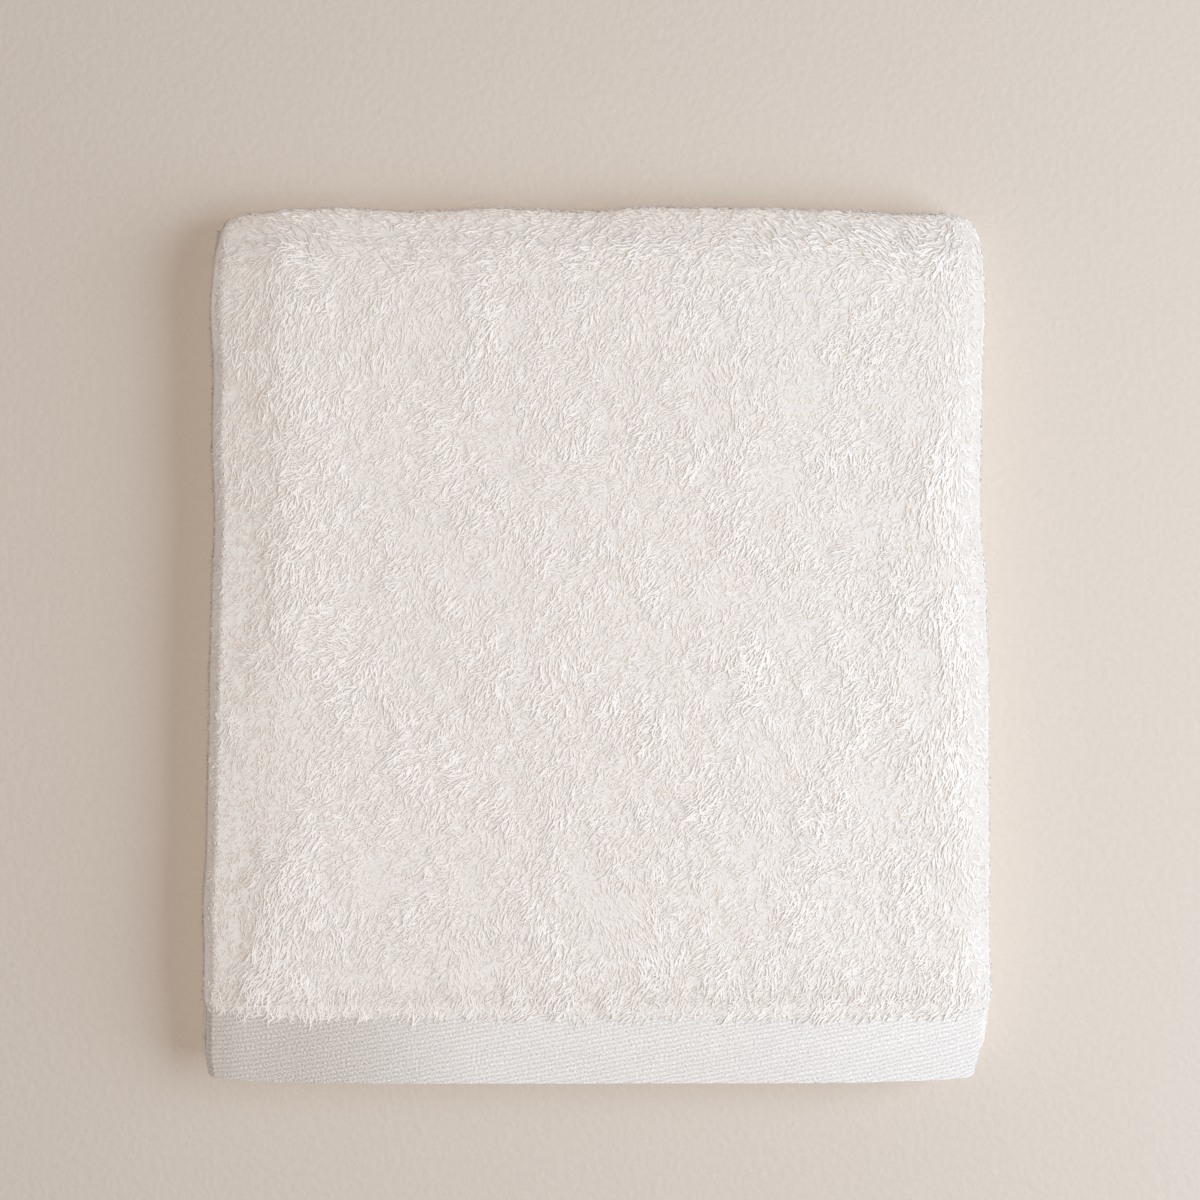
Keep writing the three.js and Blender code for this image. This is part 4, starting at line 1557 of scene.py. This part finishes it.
class TOWEL_OT_pile(bpy.types.Operator):
    """Build the looped pile on the top, round the folds and on the underside"""

    bl_idname = "folded_towel.pile"
    bl_label = "Pile"

    def execute(self, context):
        """Each piece is one stretch of the cloth's face, scattered with roots."""
        rng = np.random.default_rng(SEED)
        spacing = settings().strand_spacing
        pieces = self.grow_top(spacing, rng)
        pieces += self.grow_edges(spacing * EDGE_SPACING, rng)
        pieces += self.grow_hidden_and_stray(spacing, rng)
        return {"FINISHED"}

    def grow_top(self, spacing, rng):
        """The pile of the top panel, and the under strands that fill its gaps."""
        wide = TERRY_HALF_FACE + TERRY_FOLD * TOP_ROUND_FOLD
        start = TOP_START - BACK_OVERLAP
        roots = scatter(-wide, wide, start, PILE_END, spacing, rng)
        pieces = grow_in_parts("pile_top", 3, roots, rng, FULL_RINGS, {})
        roots = scatter(-wide, wide, start, PILE_END, spacing * UNDER_SPACING, rng)
        return pieces + grow_in_parts("pile_under", 2, roots, rng, SHORT_RINGS, UNDER_PILE)

    def grow_edges(self, spacing, rng):
        """The pile round the side folds of each panel, and round the front and back folds."""
        far = TERRY_HALF_FACE + TERRY_FOLD
        past_top = TERRY_HALF_FACE + TERRY_FOLD * TOP_ROUND_FOLD
        pieces = []
        for name, near, start, end in (
            ("pile_side_inner", TERRY_HALF_FACE, BORDER_LENGTH, FRONT_START),
            ("pile_side_bottom", TERRY_HALF_FACE, BOTTOM_START, BACK_START),
            ("pile_side_top", past_top, TOP_START, PILE_END),
        ):
            roots = scatter_sides(near, far, start, end, spacing, rng)
            pieces.append(grow_pile(name, roots, rng, FULL_RINGS, **SIDE_PILE))
        for name, start, end in (
            ("pile_front_fold", FRONT_START, BOTTOM_START),
            ("pile_back_fold", BACK_START, TOP_START - BACK_OVERLAP),
        ):
            roots = scatter(-far, far, start, end, spacing, rng)
            pieces.append(grow_pile(name, roots, rng, FULL_RINGS, **FOLD_PILE))
        return pieces

    def grow_hidden_and_stray(self, spacing, rng):
        """The coarse pile of the underside, and fine stray fibres on the sides and back fold."""
        face = TERRY_HALF_FACE
        roots = scatter(-face, face, BOTTOM_START, BACK_START, spacing * HIDDEN_SPACING, rng)
        underside = grow_pile("pile_underside", roots, rng, HIDDEN_RINGS, **HIDDEN_PILE)
        apart = spacing * STRAY_SPACING
        near, far = face - STRAY_INSIDE, face + TERRY_FOLD * STRAY_ROUND_FOLD
        sides = scatter_sides(near, far, BORDER_LENGTH, PILE_END, apart, rng)
        back = scatter(-face, face, BACK_START, TOP_START + STRAY_BACK_OVERLAP, apart, rng)
        roots = tuple(np.concatenate(pair) for pair in zip(sides, back))
        stray = grow_pile("pile_stray", roots, rng, SHORT_RINGS, **STRAY_PILE)
        return [underside, stray]


class TOWEL_OT_stage(bpy.types.Operator):
    """Build the floor, the soft light and the camera straight above"""

    bl_idname = "folded_towel.stage"
    bl_label = "Floor, Light and Camera"

    def execute(self, context):
        """A plain pale floor, two square lamps in a faint world, and the camera."""
        scene = context.scene
        self.make_floor()
        self.make_lights(scene)
        self.make_camera(scene)
        return {"FINISHED"}

    def make_floor(self):
        """A large flat floor with the faint unevenness of painted plaster."""
        material, shader = new_material("floor_paint")
        tree = material.node_tree
        place = tree.nodes.new("ShaderNodeTexCoord")
        grain = tree.nodes.new("ShaderNodeTexNoise")
        grain.inputs["Scale"].default_value = 420.0
        grain.inputs["Detail"].default_value = 4.0
        tree.links.new(place.outputs["Object"], grain.inputs["Vector"])
        tone = np.array(settings().floor_colour)
        dark, light = tuple(tone * (1 - FLOOR_GRAIN)), tuple(tone * (1 + FLOOR_GRAIN))
        colour = mix_colours(material, grain.outputs["Fac"], dark, light)
        tree.links.new(colour, shader.inputs["Base Color"])
        shader.inputs["Roughness"].default_value = 0.9
        shader.inputs["Specular IOR Level"].default_value = 0.2
        bump(material, shader, grain.outputs["Fac"], 0.5, 0.5 * MM)
        signs = ((-1, -1), (1, -1), (1, 1), (-1, 1))
        corners = [(x * FLOOR_REACH, y * FLOOR_REACH, 0) for x, y in signs]
        floor = write_mesh("floor", corners, [0, 1, 2, 3], [4], material, smooth_shade=False)

    def make_lights(self, scene):
        """A faint even world, a warm lamp high overhead, and a larger cooler one at the right."""
        world = bpy.data.worlds.new("studio")
        world.use_nodes = True
        background = world.node_tree.nodes["Background"]
        background.inputs["Color"].default_value = WORLD_COLOUR
        background.inputs["Strength"].default_value = WORLD_STRENGTH
        scene.world = world
        for row in LAMPS:
            light = bpy.data.lights.new(row["name"], "AREA")
            light.shape = "SQUARE"
            light.size = row["width"]
            light.energy = row["power"]
            light.color = row["colour"]
            lamp = bpy.data.objects.new(row["name"], light)
            lamp.location = row["place"]
            lamp.rotation_mode = "QUATERNION"
            lamp.rotation_quaternion = (-lamp.location).to_track_quat("-Z", "Y")
            scene.collection.objects.link(lamp)

    def make_camera(self, scene):
        """A camera straight above the towel, with the near border at the foot of the frame."""
        camera = bpy.data.cameras.new("camera")
        camera.lens = 85
        camera.sensor_width = 36
        camera.clip_start = 0.01
        camera.clip_end = 50
        body = bpy.data.objects.new("camera", camera)
        body.location = (CAMERA_X, CAMERA_Y, CAD_BOX[1][2] + CAMERA_HEIGHT)
        scene.collection.objects.link(body)
        scene.camera = body
        scene.view_settings.view_transform = "Standard"


class TOWEL_PT_panel(bpy.types.Panel):
    """The towel's tools and settings in the sidebar"""

    bl_label = "Folded Towel"
    bl_idname = "TOWEL_PT_panel"
    bl_space_type = "VIEW_3D"
    bl_region_type = "UI"
    bl_category = "Towel"

    def draw(self, context):
        """The settings, and a button for each operator."""
        for name in TowelSettings.__annotations__:
            self.layout.prop(context.scene.folded_towel, name)
        for operator in (TOWEL_OT_cloth, TOWEL_OT_pile, TOWEL_OT_stage):
            self.layout.operator(operator.bl_idname)


CLASSES = (TowelSettings, TOWEL_OT_cloth, TOWEL_OT_pile, TOWEL_OT_stage, TOWEL_PT_panel)


def register():
    """Registers the classes and puts the towel's settings on the scene."""
    for item in CLASSES:
        bpy.utils.register_class(item)
    bpy.types.Scene.folded_towel = bpy.props.PointerProperty(type=TowelSettings)


def unregister():
    """Takes the settings and the classes away again."""
    del bpy.types.Scene.folded_towel
    for item in reversed(CLASSES):
        bpy.utils.unregister_class(item)


def main():
    register()
    bpy.ops.folded_towel.cloth()
    bpy.ops.folded_towel.pile()
    bpy.ops.folded_towel.stage()


if __name__ == "__main__":
    main()
